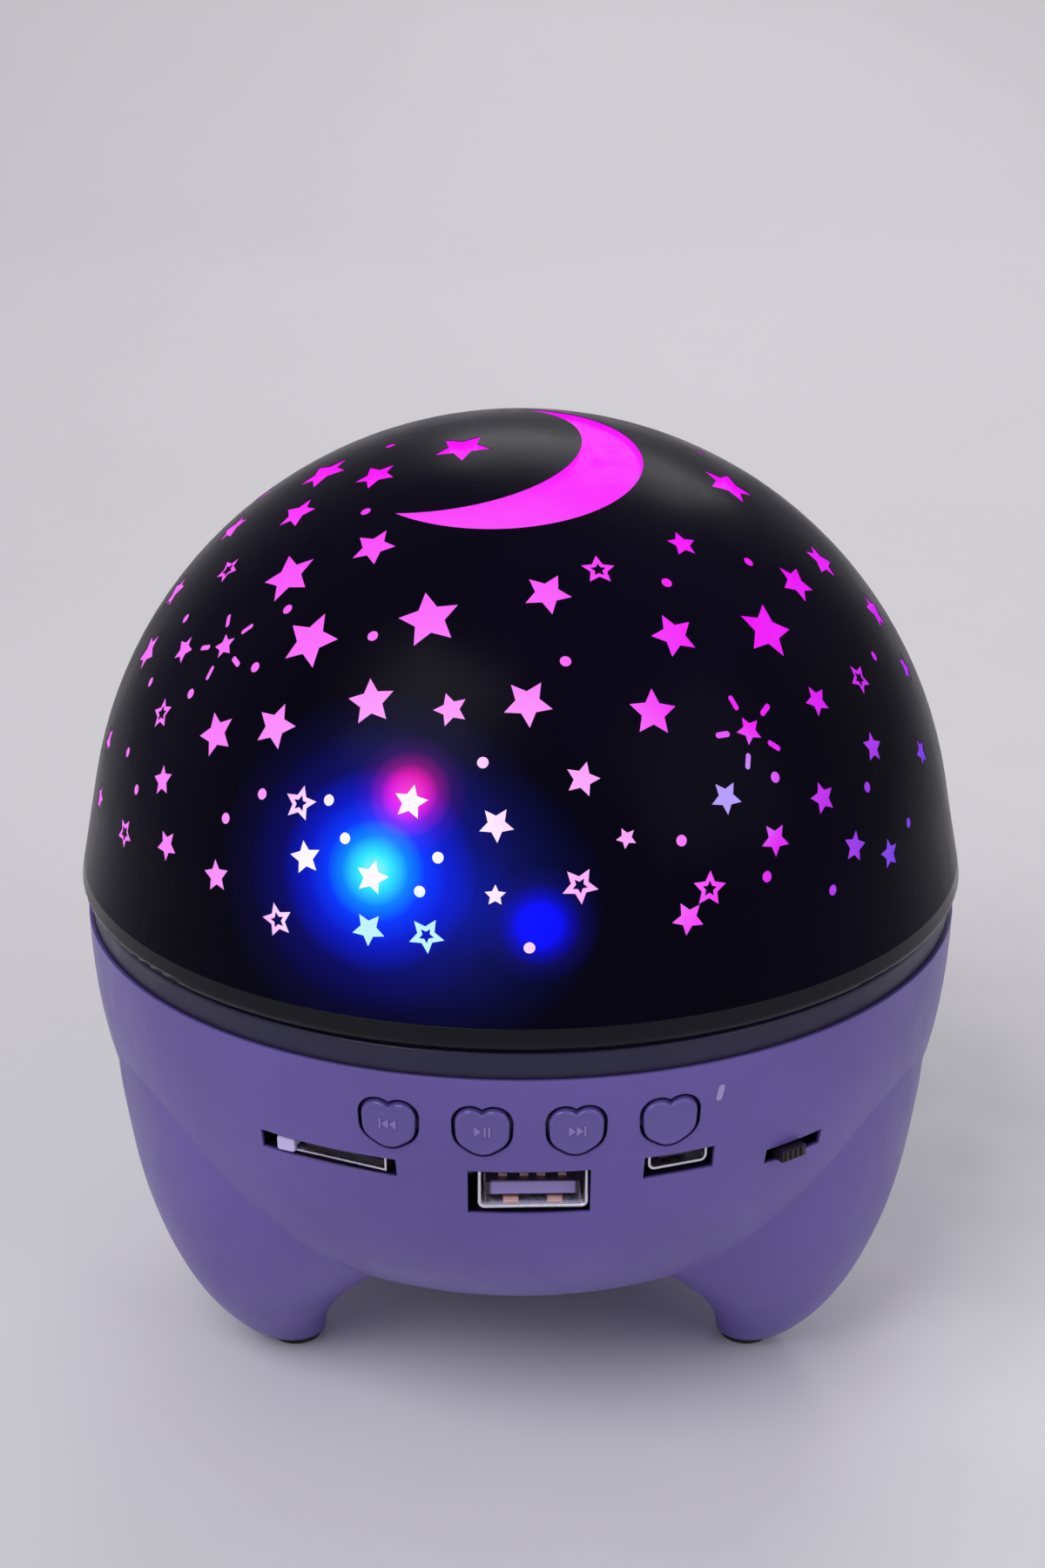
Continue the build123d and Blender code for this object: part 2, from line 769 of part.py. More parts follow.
def make_switch_body():
    """The slide switch's case, with the groove that its lever runs in."""
    case_plane = slider_plane_at(slider_front - slider_body_length)
    case = extrude(case_plane * Rectangle(slider_body_width, slider_body_height), slider_body_length)
    groove_plane = slider_plane_at(slider_front - slider_groove_depth)
    groove_length = slider_lever_length + slider_travel + 2 * slot_clearance
    groove = Rectangle(groove_length, slider_knob_height + 2 * slot_clearance)
    return case - extrude(groove_plane * groove, slider_groove_depth)


def make_switch_knob():
    """The knob in the wall's slot and its lever in the case, both at the left end of their travel."""
    shift = -slider_travel / 2
    knob_plane = slider_plane_at(slider_front + part_clearance)
    knob_face = Pos(shift, 0) * Rectangle(slider_knob_length, slider_knob_height)
    knob = extrude(knob_plane * knob_face, slider_knob_reach)
    lever_plane = slider_plane_at(slider_front - slider_groove_depth + slot_clearance)
    lever_face = Pos(shift, 0) * Rectangle(slider_lever_length, slider_knob_height)
    lever = extrude(lever_plane * lever_face, slider_groove_depth - slot_clearance + part_clearance)
    return knob + lever


def board_notch(azimuth, width, back):
    """A notch in the main board's edge around something of a width that reaches back to a radius."""
    width = width + 2 * part_clearance
    middle = (board_low + board_top) / 2
    return wall_box(azimuth, middle, width, 2 * board_thickness, back - part_clearance, board_radius + 1)


def make_main_board():
    """A board that fills the front of the bowl, with notches for the sunk sockets."""
    board = disc(board_radius, board_low, board_top)
    board = board - block((-board_radius, board_radius), (board_rear, board_radius), (board_low, board_top))
    board = board - board_notch(usb_azimuth, usb_width, usb_back)
    board = board - board_notch(slider_azimuth, slider_body_width, slider_front - slider_body_length)
    radius = small_screw_radius + pilot_clearance
    return board - [disc(radius, board_low, board_top, x, y) for x, y in main_posts]


def make_board_screws():
    return [screw(small_screw_radius, board_screw_tip, board_low, x, y) for x, y in main_posts]


def on_board(place, size):
    """A block that stands on the main board."""
    x, back = place
    width, length, height = size
    y = back - board_radius
    x_range = (x - width / 2, x + width / 2)
    return block(x_range, (y - length / 2, y + length / 2), (board_top, board_top + height))


def make_board_chips():
    chips = []
    for place, size in zip(chip_places, chip_sizes):
        chips.append(on_board(place, size))
    return chips


def make_radio_module():
    return on_board(radio_place, radio_size)


def make_capacitors():
    top = board_top + capacitor_height
    return [disc(capacitor_radius, board_top, top, x, back - board_radius) for x, back in capacitor_places]


# Upper deck, turntable and motor


def make_upper_deck():
    """The dark deck over the bowl: its rim shows, and its underside carries the boards and the battery."""
    deck = disc(deck_spigot_radius, deck_bottom, deck_floor)
    rim = ring(deck_rim_radius, deck_rim_inner, housing_top, deck_rim_top)
    top_edge = rim.edges().filter_by(GeomType.CIRCLE).group_by(Axis.Z)[-1].sort_by(SortBy.RADIUS)[-1]
    deck = deck + fillet(top_edge, deck_rim_rounding)
    deck = deck + disc(hub_radius, deck_floor, hub_top)
    track_outer = track_radius + track_width / 2
    deck = deck + ring(track_outer, track_radius - track_width / 2, deck_floor, table_low - part_clearance)
    deck = deck + [disc(post_radius, board_top, deck_bottom, x, y) for x, y in main_posts]
    deck = deck + [disc(post_radius, tray_ear_top, deck_bottom, x, cell_y) for x in tray_ear_xs]
    bracket_x = (-bracket_side, bracket_side)
    deck = deck + block(bracket_x, (-key_board_back, -bracket_back), (key_board_low, deck_bottom))
    return deck - deck_holes()


def deck_holes():
    holes = [disc(small_screw_radius, board_top, board_screw_tip, x, y) for x, y in main_posts]
    holes.extend(disc(small_screw_radius, tray_ear_top, tray_screw_tip, x, cell_y) for x in tray_ear_xs)
    deck_hole = disc(deck_screw_radius + pilot_clearance, deck_bottom, deck_floor, 0, -boss_circle)
    holes.extend(around(deck_hole, boss_azimuths))
    centre = at_azimuth(gear_distance, gear_azimuth)
    shaft_hole_radius = motor_boss_radius + part_clearance
    holes.append(disc(shaft_hole_radius, deck_bottom, deck_floor, centre.X, centre.Y))
    for x, y in motor_screw_places():
        holes.append(disc(small_screw_radius, deck_bottom, motor_screw_tip, x, y))
    holes.extend(disc(small_screw_radius, lamp_screw_tip, hub_top, x, 0) for x in lamp_screw_xs)
    holes.extend(key_screw_holes(small_screw_radius, bracket_back, key_board_back))
    return holes


def make_deck_screws():
    return around(screw(deck_screw_radius, deck_screw_tip, deck_floor, 0, -boss_circle), boss_azimuths)


def gear(teeth, low, high):
    """A spur gear with straight tapered teeth: a round root with a tooth at each step."""
    pitch = gear_module * teeth / 2
    root = pitch - gear_module * tooth_root_ratio
    tip = pitch + gear_module * tooth_tip_ratio
    half_pitch = gear_module * math.pi / 4
    root_half = half_pitch * tooth_root_width
    tip_half = half_pitch * tooth_tip_width
    start = root - gear_module / 2
    outline = Polygon((start, -root_half), (tip, -tip_half), (tip, tip_half), (start, root_half), align=None)
    tooth = Pos(0, 0, low) * extrude(outline, high - low)
    body = disc(root, low, high)
    return body + [Rot(0, 0, 360 * step / teeth) * tooth for step in range(teeth)]


def table_radius():
    """The turntable's edge runs inside the dome's rim."""
    return skirt_radius(lip_z) - rim_wall - table_clearance


def make_turntable():
    """The plate that carries the dome, with its gear ring below and three pegs above."""
    plate = disc(table_radius(), table_low, table_top)
    plate = plate + gear(gear_teeth, gear_low, table_low)
    plate = plate - disc(gear_inner_radius, gear_low, table_low)
    plate = plate - disc(hub_radius + running_clearance, gear_low, table_top)
    window = disc(table_window_radius, table_low, table_top, 0, -table_window_circle)
    plate = plate - around(window, even_azimuths(table_window_count))
    peg = disc(peg_radius, table_top, table_top + peg_height, 0, peg_inset - table_radius())
    return plate + around(peg, even_azimuths(peg_count))


def make_drive_pinion():
    """The pinion, turned so that a gap between its teeth meets a tooth of the gear ring."""
    centre = at_azimuth(gear_distance, gear_azimuth)
    low = deck_floor + part_clearance
    wheel = gear(pinion_teeth, low, low + pinion_height) - disc(motor_shaft_radius, low, low + pinion_height)
    return Pos(centre.X, centre.Y, 0) * Rot(0, 0, pinion_turn()) * wheel


def pinion_turn():
    """The pinion's angle at rest, in degrees: half a tooth away from the ring's tooth that faces it."""
    line_angle = gear_azimuth - 90
    ring_step = 360 / gear_teeth
    offset = (line_angle % ring_step) / ring_step
    pinion_step = 360 / pinion_teeth
    return line_angle + 180 + pinion_step * (0.5 + offset)


def make_motor_shaft():
    centre = at_azimuth(gear_distance, gear_azimuth)
    top = deck_floor + part_clearance + pinion_height
    return disc(motor_shaft_radius, shaft_low, top, centre.X, centre.Y)


def motor_screw_places():
    centre = at_azimuth(gear_distance, gear_azimuth)
    angle = math.radians(gear_azimuth)
    along = Vector(math.cos(angle), math.sin(angle), 0)
    return [((centre + along * side * motor_ear_reach).X, (centre + along * side * motor_ear_reach).Y)
            for side in (-1, 1)]


def make_motor_gearbox():
    """The gearbox under the deck, with a round boss through it and an ear on each side."""
    centre = at_azimuth(gear_distance, gear_azimuth)
    box = disc(motor_radius, deck_bottom - gearbox_length, deck_bottom, centre.X, centre.Y)
    box = box + disc(motor_boss_radius, deck_bottom, deck_floor, centre.X, centre.Y)
    ear_low = deck_bottom - motor_ear_thickness
    ears = Rectangle(2 * motor_ear_reach, 2 * motor_ear_radius)
    bar = extrude(Plane((centre.X, centre.Y, ear_low)) * Rot(0, 0, gear_azimuth) * ears, motor_ear_thickness)
    box = box + bar
    box = box + [disc(motor_ear_radius, ear_low, deck_bottom, x, y) for x, y in motor_screw_places()]
    bore = disc(motor_shaft_radius + running_clearance, shaft_low, deck_floor, centre.X, centre.Y)
    hole_radius = small_screw_radius + pilot_clearance
    return box - bore - [disc(hole_radius, ear_low, deck_bottom, x, y) for x, y in motor_screw_places()]


def make_drive_motor():
    centre = at_azimuth(gear_distance, gear_azimuth)
    top = deck_bottom - gearbox_length
    can = disc(motor_can_radius, top - motor_can_length, top, centre.X, centre.Y)
    return can + disc(motor_tail_radius, top - motor_can_length - motor_tail_length, top, centre.X, centre.Y)


def make_motor_screws():
    ear_low = deck_bottom - motor_ear_thickness
    return [screw(small_screw_radius, motor_screw_tip, ear_low, x, y) for x, y in motor_screw_places()]


# Lamp


def make_lamp_base():
    """The white disc on the hub that keeps the turntable down."""
    base = disc(lamp_base_radius, hub_top, lamp_board_low)
    base = chamfer(base.edges().group_by(Axis.Z)[-1], lamp_base_chamfer)
    holes = [disc(small_screw_radius + pilot_clearance, hub_top, lamp_board_low, x, 0) for x in lamp_screw_xs]
    return base - holes


def make_lamp_board():
    board = disc(lamp_board_radius, lamp_board_low, lamp_board_top)
    hole_radius = small_screw_radius + pilot_clearance
    return board - [disc(hole_radius, lamp_board_low, lamp_board_top, x, 0) for x in lamp_screw_xs]


def make_lamp_leds():
    """A bright centre light and a ring of coloured ones."""
    half = led_size / 2
    z_range = (lamp_board_top, lamp_board_top + led_height)
    middle = block((-half, half), (-half, half), z_range)
    outer = block((-half, half), (-led_circle - half, -led_circle + half), z_range)
    return [middle] + around(outer, even_azimuths(led_count, led_first_azimuth))


def make_lamp_lens():
    """A small clear dome over the centre light."""
    ball = Pos(0, 0, lamp_board_top) * Sphere(lamp_lens_radius)
    upper = block(
        (-lamp_lens_radius, lamp_lens_radius),
        (-lamp_lens_radius, lamp_lens_radius),
        (lamp_board_top, lamp_board_top + lamp_lens_radius),
    )
    half = led_size / 2 + part_clearance
    pocket_top = lamp_board_top + led_height + part_clearance
    return (ball & upper) - block((-half, half), (-half, half), (lamp_board_top, pocket_top))


def make_lamp_screws():
    return [screw(small_screw_radius, lamp_screw_tip, lamp_board_top, x, 0) for x in lamp_screw_xs]


# Dome


def skirt_radius(z, inset=0.0):
    """The radius of the dome's flared skirt at a height."""
    slant = math.radians(skirt_angle)
    touch_z = dome_centre_z + dome_radius * math.sin(slant)
    return dome_radius * math.cos(slant) + (touch_z - z) * math.tan(slant) - inset / math.cos(slant)


def dome_solid(inset, low):
    """The filled dome: a ball's cap that runs into its flared skirt."""
    radius = dome_radius - inset
    slant = math.radians(skirt_angle)
    middle = (slant + math.pi / 2) / 2
    touch = (radius * math.cos(slant), 0, dome_centre_z + radius * math.sin(slant))
    halfway = (radius * math.cos(middle), 0, dome_centre_z + radius * math.sin(middle))
    pole = (0, 0, dome_centre_z + radius)
    foot = (skirt_radius(low, inset), 0, low)
    outline = ThreePointArc(pole, halfway, touch) + Polyline(touch, foot, (0, 0, low), pole)
    return revolve(make_face(outline), Axis.Z)


def star_face(radius, waist=star_waist, rays=5):
    """A star with its first point up."""
    points = []
    for step in range(2 * rays):
        reach = radius if step % 2 == 0 else radius * waist
        angle = math.pi / 2 + step * math.pi / rays
        points.append((reach * math.cos(angle), reach * math.sin(angle)))
    return Polygon(*points, align=None)


def burst_face():
    """A small star with a thin round-ended ray beyond each of its points."""
    shape = star_face(burst_star_radius)
    middle = burst_ray_start + burst_ray_length / 2
    ray = Pos(0, middle) * Rot(0, 0, 90) * SlotOverall(burst_ray_length, burst_ray_width)
    for step in range(5):
        shape = shape + Rot(0, 0, 72 * step) * ray
    return Rot(0, 0, burst_tilt) * shape


def moon_face():
    x, y = moon_centre
    shift_x, shift_y = moon_shift
    outer = Pos(x, y) * Circle(moon_outer_radius)
    return outer - Pos(x + shift_x, y + shift_y) * Circle(moon_inner_radius)


def window(face, azimuth, elevation, tilt=0.0, depth=1.0):
    """A face pushed through the mask, square to the dome at its place."""
    plane = dome_plane(azimuth, elevation)
    return extrude(plane * Rot(0, 0, tilt) * face, depth, both=True)


def star_windows():
    """The stars, dots and bursts of the front, then rows of stars over the back."""
    groups = (
        (big_stars, star_face(big_star_radius)),
        (medium_stars, star_face(medium_star_radius)),
        (small_stars, star_face(small_star_radius)),
        (tiny_stars, star_face(tiny_star_radius)),
        (hollow_stars, star_face(hollow_star_radius)),
        (bursts, burst_face()),
        (dots, Circle(dot_radius)),
    )
    windows = []
    for places, face in groups:
        for count, (azimuth, elevation) in enumerate(places):
            windows.append(window(face, azimuth, elevation, tilt_step * count, window_depth))
    return windows + back_windows()


def back_windows():
    """Stars of three sizes in turn, on level rows that are shifted against each other."""
    faces = (star_face(medium_star_radius), Circle(dot_radius), star_face(small_star_radius))
    windows = []
    for row, elevation in enumerate(back_rows):
        spacing = back_spacing / math.cos(math.radians(elevation))
        azimuth = back_first_azimuth + row_shift * (row % 2)
        count = row
        while azimuth <= back_last_azimuth:
            face = faces[count % len(faces)]
            windows.append(window(face, azimuth, elevation, tilt_step * count, window_depth))
            azimuth = azimuth + spacing
            count = count + 1
    return windows


def hollow_cores(shell):
    """The black cores that turn some stars into outlines."""
    core = star_face(hollow_star_radius * hollow_star_core)
    cores = []
    for count, (azimuth, elevation) in enumerate(hollow_stars):
        cores.append(window(core, azimuth, elevation, tilt_step * count, window_depth) & shell)
    return cores


def make_dome_mask():
    """The black coat of the dome, cut through by the stars and the moon."""
    shell = dome_solid(0, rim_top) - dome_solid(mask_thickness, rim_top)
    moon = window(moon_face(), moon_azimuth, moon_elevation, 0, moon_depth)
    return [shell - (star_windows() + [moon])] + hollow_cores(shell)


def make_dome_lens():
    outer = mask_thickness + glue_gap
    return dome_solid(outer, rim_top) - dome_solid(outer + lens_thickness, rim_top)


def make_dome_rim():
    """The rounded ring at the dome's lower edge, with the ledge that stands on the turntable."""
    lip_radius = skirt_radius(lip_z)
    inner = lip_radius - rim_wall
    ledge_top = table_top + rim_ledge_thickness
    ledge_inner = inner - rim_ledge_width
    lens_inner = skirt_radius(ledge_top, mask_thickness + glue_gap + lens_thickness) - part_clearance
    profile = [
        (lip_radius, lip_z),
        (skirt_radius(rim_top), rim_top),
        (lens_inner, rim_top),
        (lens_inner, ledge_top),
        (ledge_inner, ledge_top),
        (ledge_inner, table_top),
        (inner, table_top),
        (inner, lip_z),
    ]
    rim = spin(profile)
    lower_edges = rim.edges().filter_by(GeomType.CIRCLE).group_by(Axis.Z)[0]
    rim = fillet(lower_edges.sort_by(SortBy.RADIUS)[-1], rim_rounding)
    hole = disc(peg_radius + part_clearance, table_top, ledge_top, 0, peg_inset - table_radius())
    return rim - around(hole, even_azimuths(peg_count))


# Battery


def make_battery_cell():
    half = cell_length / 2
    return rod(cell_radius, (-half, half), cell_y, cell_z)


def make_battery_contacts():
    half = cell_length / 2
    return [
        rod(spring_radius, (-half - spring_length, -half), cell_y, cell_z),
        rod(spring_radius, (half, half + spring_length), cell_y, cell_z),
    ]


def make_battery_tray():
    """A half-round trough with a wall and a screw ear at each end."""
    inner_half = tray_half - tray_wall
    trough = rod(tray_radius, (-tray_half, tray_half), cell_y, cell_z)
    trough = trough - rod(tray_radius - tray_wall, (-inner_half, inner_half), cell_y, cell_z)
    top = cell_z + tray_lip_height
    y_range = (cell_y - tray_radius, cell_y + tray_radius)
    trough = trough - block((-tray_half, tray_half), y_range, (top, cell_z + tray_radius))
    end_y = (cell_y - tray_end_width / 2, cell_y + tray_end_width / 2)
    web_y = (cell_y - tray_ear_radius, cell_y + tray_ear_radius)
    for side, ear_x in zip((-1, 1), tray_ear_xs):
        wall_x = sorted((side * inner_half, side * tray_half))
        web_x = sorted((side * inner_half, ear_x))
        trough = trough + block(wall_x, end_y, (cell_z, tray_ear_top))
        trough = trough + block(web_x, web_y, (tray_ear_low, tray_ear_top))
        trough = trough + disc(tray_ear_radius, tray_ear_low, tray_ear_top, ear_x, cell_y)
    radius = small_screw_radius + pilot_clearance
    return trough - [disc(radius, tray_ear_low, tray_ear_top, x, cell_y) for x in tray_ear_xs]


def make_tray_screws():
    return [screw(small_screw_radius, tray_screw_tip, tray_ear_low, x, cell_y) for x in tray_ear_xs]


# Speaker


def make_speaker_grille():
    """A disc with rings of round holes, held between the housing's floor and the speaker."""
    top = inside_floor + grille_thickness
    grille = disc(grille_radius, inside_floor, top)
    holes = [disc(grille_hole_radius, inside_floor, top)]
    for radius, count in grille_rows:
        hole = disc(grille_hole_radius, inside_floor, top, 0, -radius)
        holes.extend(around(hole, even_azimuths(count)))
    return grille - holes


def make_speaker_frame():
    """The pressed basket: a flat flange and a cone-shaped cage up to the magnet."""
    flange_top = speaker_height + flange_thickness
    top = flange_top + basket_height
    basket = spin([
        (basket_mouth, speaker_height),
        (flange_radius, speaker_height),
        (flange_radius, flange_top),
        (basket_mouth + basket_wall, flange_top),
        (basket_top_radius, top),
        (magnet_bore_radius, top),
        (magnet_bore_radius, top - basket_wall),
        (basket_top_radius - basket_wall, top - basket_wall),
        (basket_mouth, flange_top),
    ])
    hole_radius = small_screw_radius + pilot_clearance
    hole = disc(hole_radius, speaker_height, flange_top, 0, -speaker_screw_circle)
    return basket - around(hole, speaker_screw_azimuths)


def make_speaker_screws():
    seat = speaker_height + flange_thickness
    front_screw = screw(small_screw_radius, speaker_screw_tip, seat, 0, -speaker_screw_circle)
    return around(front_screw, speaker_screw_azimuths)


def make_speaker_surround():
    """The soft ring between the frame and the cone."""
    outer = basket_mouth - glue_gap
    low = speaker_height
    return ring(outer, outer - surround_width, low, low + surround_thickness)


def make_speaker_cone():
    outer = basket_mouth - glue_gap - surround_width
    low = speaker_height
    return spin([
        (outer, low),
        (outer, low + cone_thickness),
        (cone_neck_radius, low + cone_height + cone_thickness),
        (cone_neck_radius - cone_thickness, low + cone_height + cone_thickness),
        (cone_neck_radius - cone_thickness, low + cone_height),
    ])


def make_voice_coil():
    low = speaker_height + cone_height + cone_thickness
    top = speaker_height + flange_thickness + basket_height + magnet_height / 2
    return ring(cone_neck_radius, cone_neck_radius - cone_thickness, low, top)


def make_dust_cap():
    """A shallow cap over the cone's neck."""
    radius = cone_neck_radius - cone_thickness - glue_gap
    low = speaker_height + cone_height
    return disc(radius, low, low + cone_thickness)


def make_speaker_magnet():
    low = speaker_height + flange_thickness + basket_height
    return ring(magnet_radius, magnet_bore_radius, low, low + magnet_height)


def make_speaker_yoke():
    """The plate on the magnet, with the pole that reaches down into the coil."""
    low = speaker_height + flange_thickness + basket_height
    plate = disc(magnet_radius, low + magnet_height, low + magnet_height + yoke_height)
    return plate + disc(pole_radius, low, low + magnet_height)


def export(name, shape):
    """Write one sub-part, joined into one compound where it is several solids."""
    solids = []
    for piece in shape if isinstance(shape, (list, tuple)) else [shape]:
        solids.extend(piece.solids())
    body = solids[0] if len(solids) == 1 else Compound(children=solids)
    export_step(body, f"parts/{name}.step")
    return len(solids)


def main():
    os.makedirs("parts", exist_ok=True)
    parts = {
        "lower_housing": make_lower_housing(),
        "rubber_feet": make_rubber_feet(),
        "upper_deck": make_upper_deck(),
        "deck_screws": make_deck_screws(),
        "turntable": make_turntable(),
        "drive_pinion": make_drive_pinion(),
        "motor_shaft": make_motor_shaft(),
        "motor_gearbox": make_motor_gearbox(),
        "drive_motor": make_drive_motor(),
        "motor_screws": make_motor_screws(),
        "lamp_base": make_lamp_base(),
        "lamp_board": make_lamp_board(),
        "lamp_leds": make_lamp_leds(),
        "lamp_lens": make_lamp_lens(),
        "lamp_screws": make_lamp_screws(),
        "dome_mask": make_dome_mask(),
        "dome_lens": make_dome_lens(),
        "dome_rim": make_dome_rim(),
        "key_board": make_key_board(),
        "key_board_screws": make_key_board_screws(),
        "key_switches": make_key_switches(),
        "status_light": make_status_light(),
        "status_led": make_status_led(),
        "card_socket": make_card_socket(),
        "card_carrier": make_card_carrier(),
        "card_latch": make_card_latch(),
        "usb_shell": make_usb_shell(),
        "usb_tongue": make_usb_tongue(),
        "usb_contacts": make_usb_contacts(),
        "charge_socket": make_charge_socket(),
        "charge_tongue": make_charge_tongue(),
        "switch_body": make_switch_body(),
        "switch_knob": make_switch_knob(),
        "main_board": make_main_board(),
        "board_screws": make_board_screws(),
        "board_chips": make_board_chips(),
        "radio_module": make_radio_module(),
        "capacitors": make_capacitors(),
        "battery_cell": make_battery_cell(),
        "battery_contacts": make_battery_contacts(),
        "battery_tray": make_battery_tray(),
        "tray_screws": make_tray_screws(),
        "speaker_grille": make_speaker_grille(),
        "speaker_frame": make_speaker_frame(),
        "speaker_screws": make_speaker_screws(),
        "speaker_surround": make_speaker_surround(),
        "speaker_cone": make_speaker_cone(),
        "voice_coil": make_voice_coil(),
        "dust_cap": make_dust_cap(),
        "speaker_magnet": make_speaker_magnet(),
        "speaker_yoke": make_speaker_yoke(),
    }
    for number, x in enumerate(key_xs, start=1):
        parts[f"heart_key_{number}"] = make_heart_key(x)
    for name, shape in parts.items():
        export(name, shape)


main()
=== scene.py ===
import math

import bmesh
import bpy
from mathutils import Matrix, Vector


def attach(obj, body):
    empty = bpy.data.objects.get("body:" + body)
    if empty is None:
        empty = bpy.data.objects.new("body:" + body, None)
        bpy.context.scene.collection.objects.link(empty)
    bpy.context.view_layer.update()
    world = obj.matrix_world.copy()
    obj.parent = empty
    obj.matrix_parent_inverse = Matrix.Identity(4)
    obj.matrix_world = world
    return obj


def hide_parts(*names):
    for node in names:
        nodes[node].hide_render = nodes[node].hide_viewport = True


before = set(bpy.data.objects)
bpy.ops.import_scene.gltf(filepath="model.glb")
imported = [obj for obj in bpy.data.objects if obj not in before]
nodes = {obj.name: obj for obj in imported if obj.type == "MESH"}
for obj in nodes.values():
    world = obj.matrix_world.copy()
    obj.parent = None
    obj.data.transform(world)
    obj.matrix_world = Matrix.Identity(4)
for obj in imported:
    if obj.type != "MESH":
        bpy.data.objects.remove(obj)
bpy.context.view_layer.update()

# The photo's frame, in its own pixels, and the camera that fits it
photo_width = 1200
photo_height = 1800
aim_pixel = (598, 981)
focal_pixels = 2846
camera_elevation = math.radians(23)
camera_distance = 0.3335
sensor_height = 36.0

# The lamp's main sizes, in metres, as in the solids
seam_height = 0.0637
bowl_radius = 0.0576
bowl_depth = 0.0513
bowl_roundness = 2.79
dome_centre = Vector((0, 0, 0.0662))
dome_radius = 0.0567
lamp_board_top = 0.0705
key_azimuths = (-15.4, -4.4, 6.4, 17.5)
key_height = 0.05355
key_proud = 0.0003
heart_middle = key_height - 0.0004
heart_lobe_radius = 0.0018
heart_lobe_offset = 0.00135
heart_lobe_height = 0.00095
heart_belly_radius = 0.00235
heart_belly_offset = 0.00075
heart_belly_drop = 0.00035
heart_tip_radius = 0.0023
heart_tip_drop = 0.0009
card_azimuth = -23.7
card_height = 0.04715
card_mouth = 0.0556
latch_shift = -0.00587
latch_size = (0.0024, 0.0019)
latch_corner = 0.0004
usb_azimuth = 1.5
usb_height = 0.0448
usb_front = 0.0551
usb_length = 0.016
usb_size = (0.0131, 0.0057)
usb_wall = 0.00045
usb_corner = 0.0009
tongue_front = 0.0541
tongue_bar = 0.0048
slider_azimuth = 35.8
slider_height = 0.0448
knob_front = 0.0575
knob_shift = -0.001


def srgb(red, green, blue):
    """A screen colour of 0 to 255 as the linear values that a shader takes."""
    linear = []
    for value in (red, green, blue):
        share = value / 255
        linear.append(share / 12.92 if share <= 0.04045 else ((share + 0.055) / 1.055) ** 2.4)
    return (*linear, 1.0)


def scaled(color, factor):
    """A colour made darker or lighter."""
    return (*[min(1.0, part * factor) for part in color[:3]], 1.0)


def on_dome(azimuth, elevation):
    """A point of the dome's surface from its azimuth and elevation in degrees."""
    turn = math.radians(azimuth)
    lift = math.radians(elevation)
    level = math.cos(lift)
    direction = Vector((level * math.sin(turn), -level * math.cos(turn), math.sin(lift)))
    return dome_centre + dome_radius * direction


# Materials


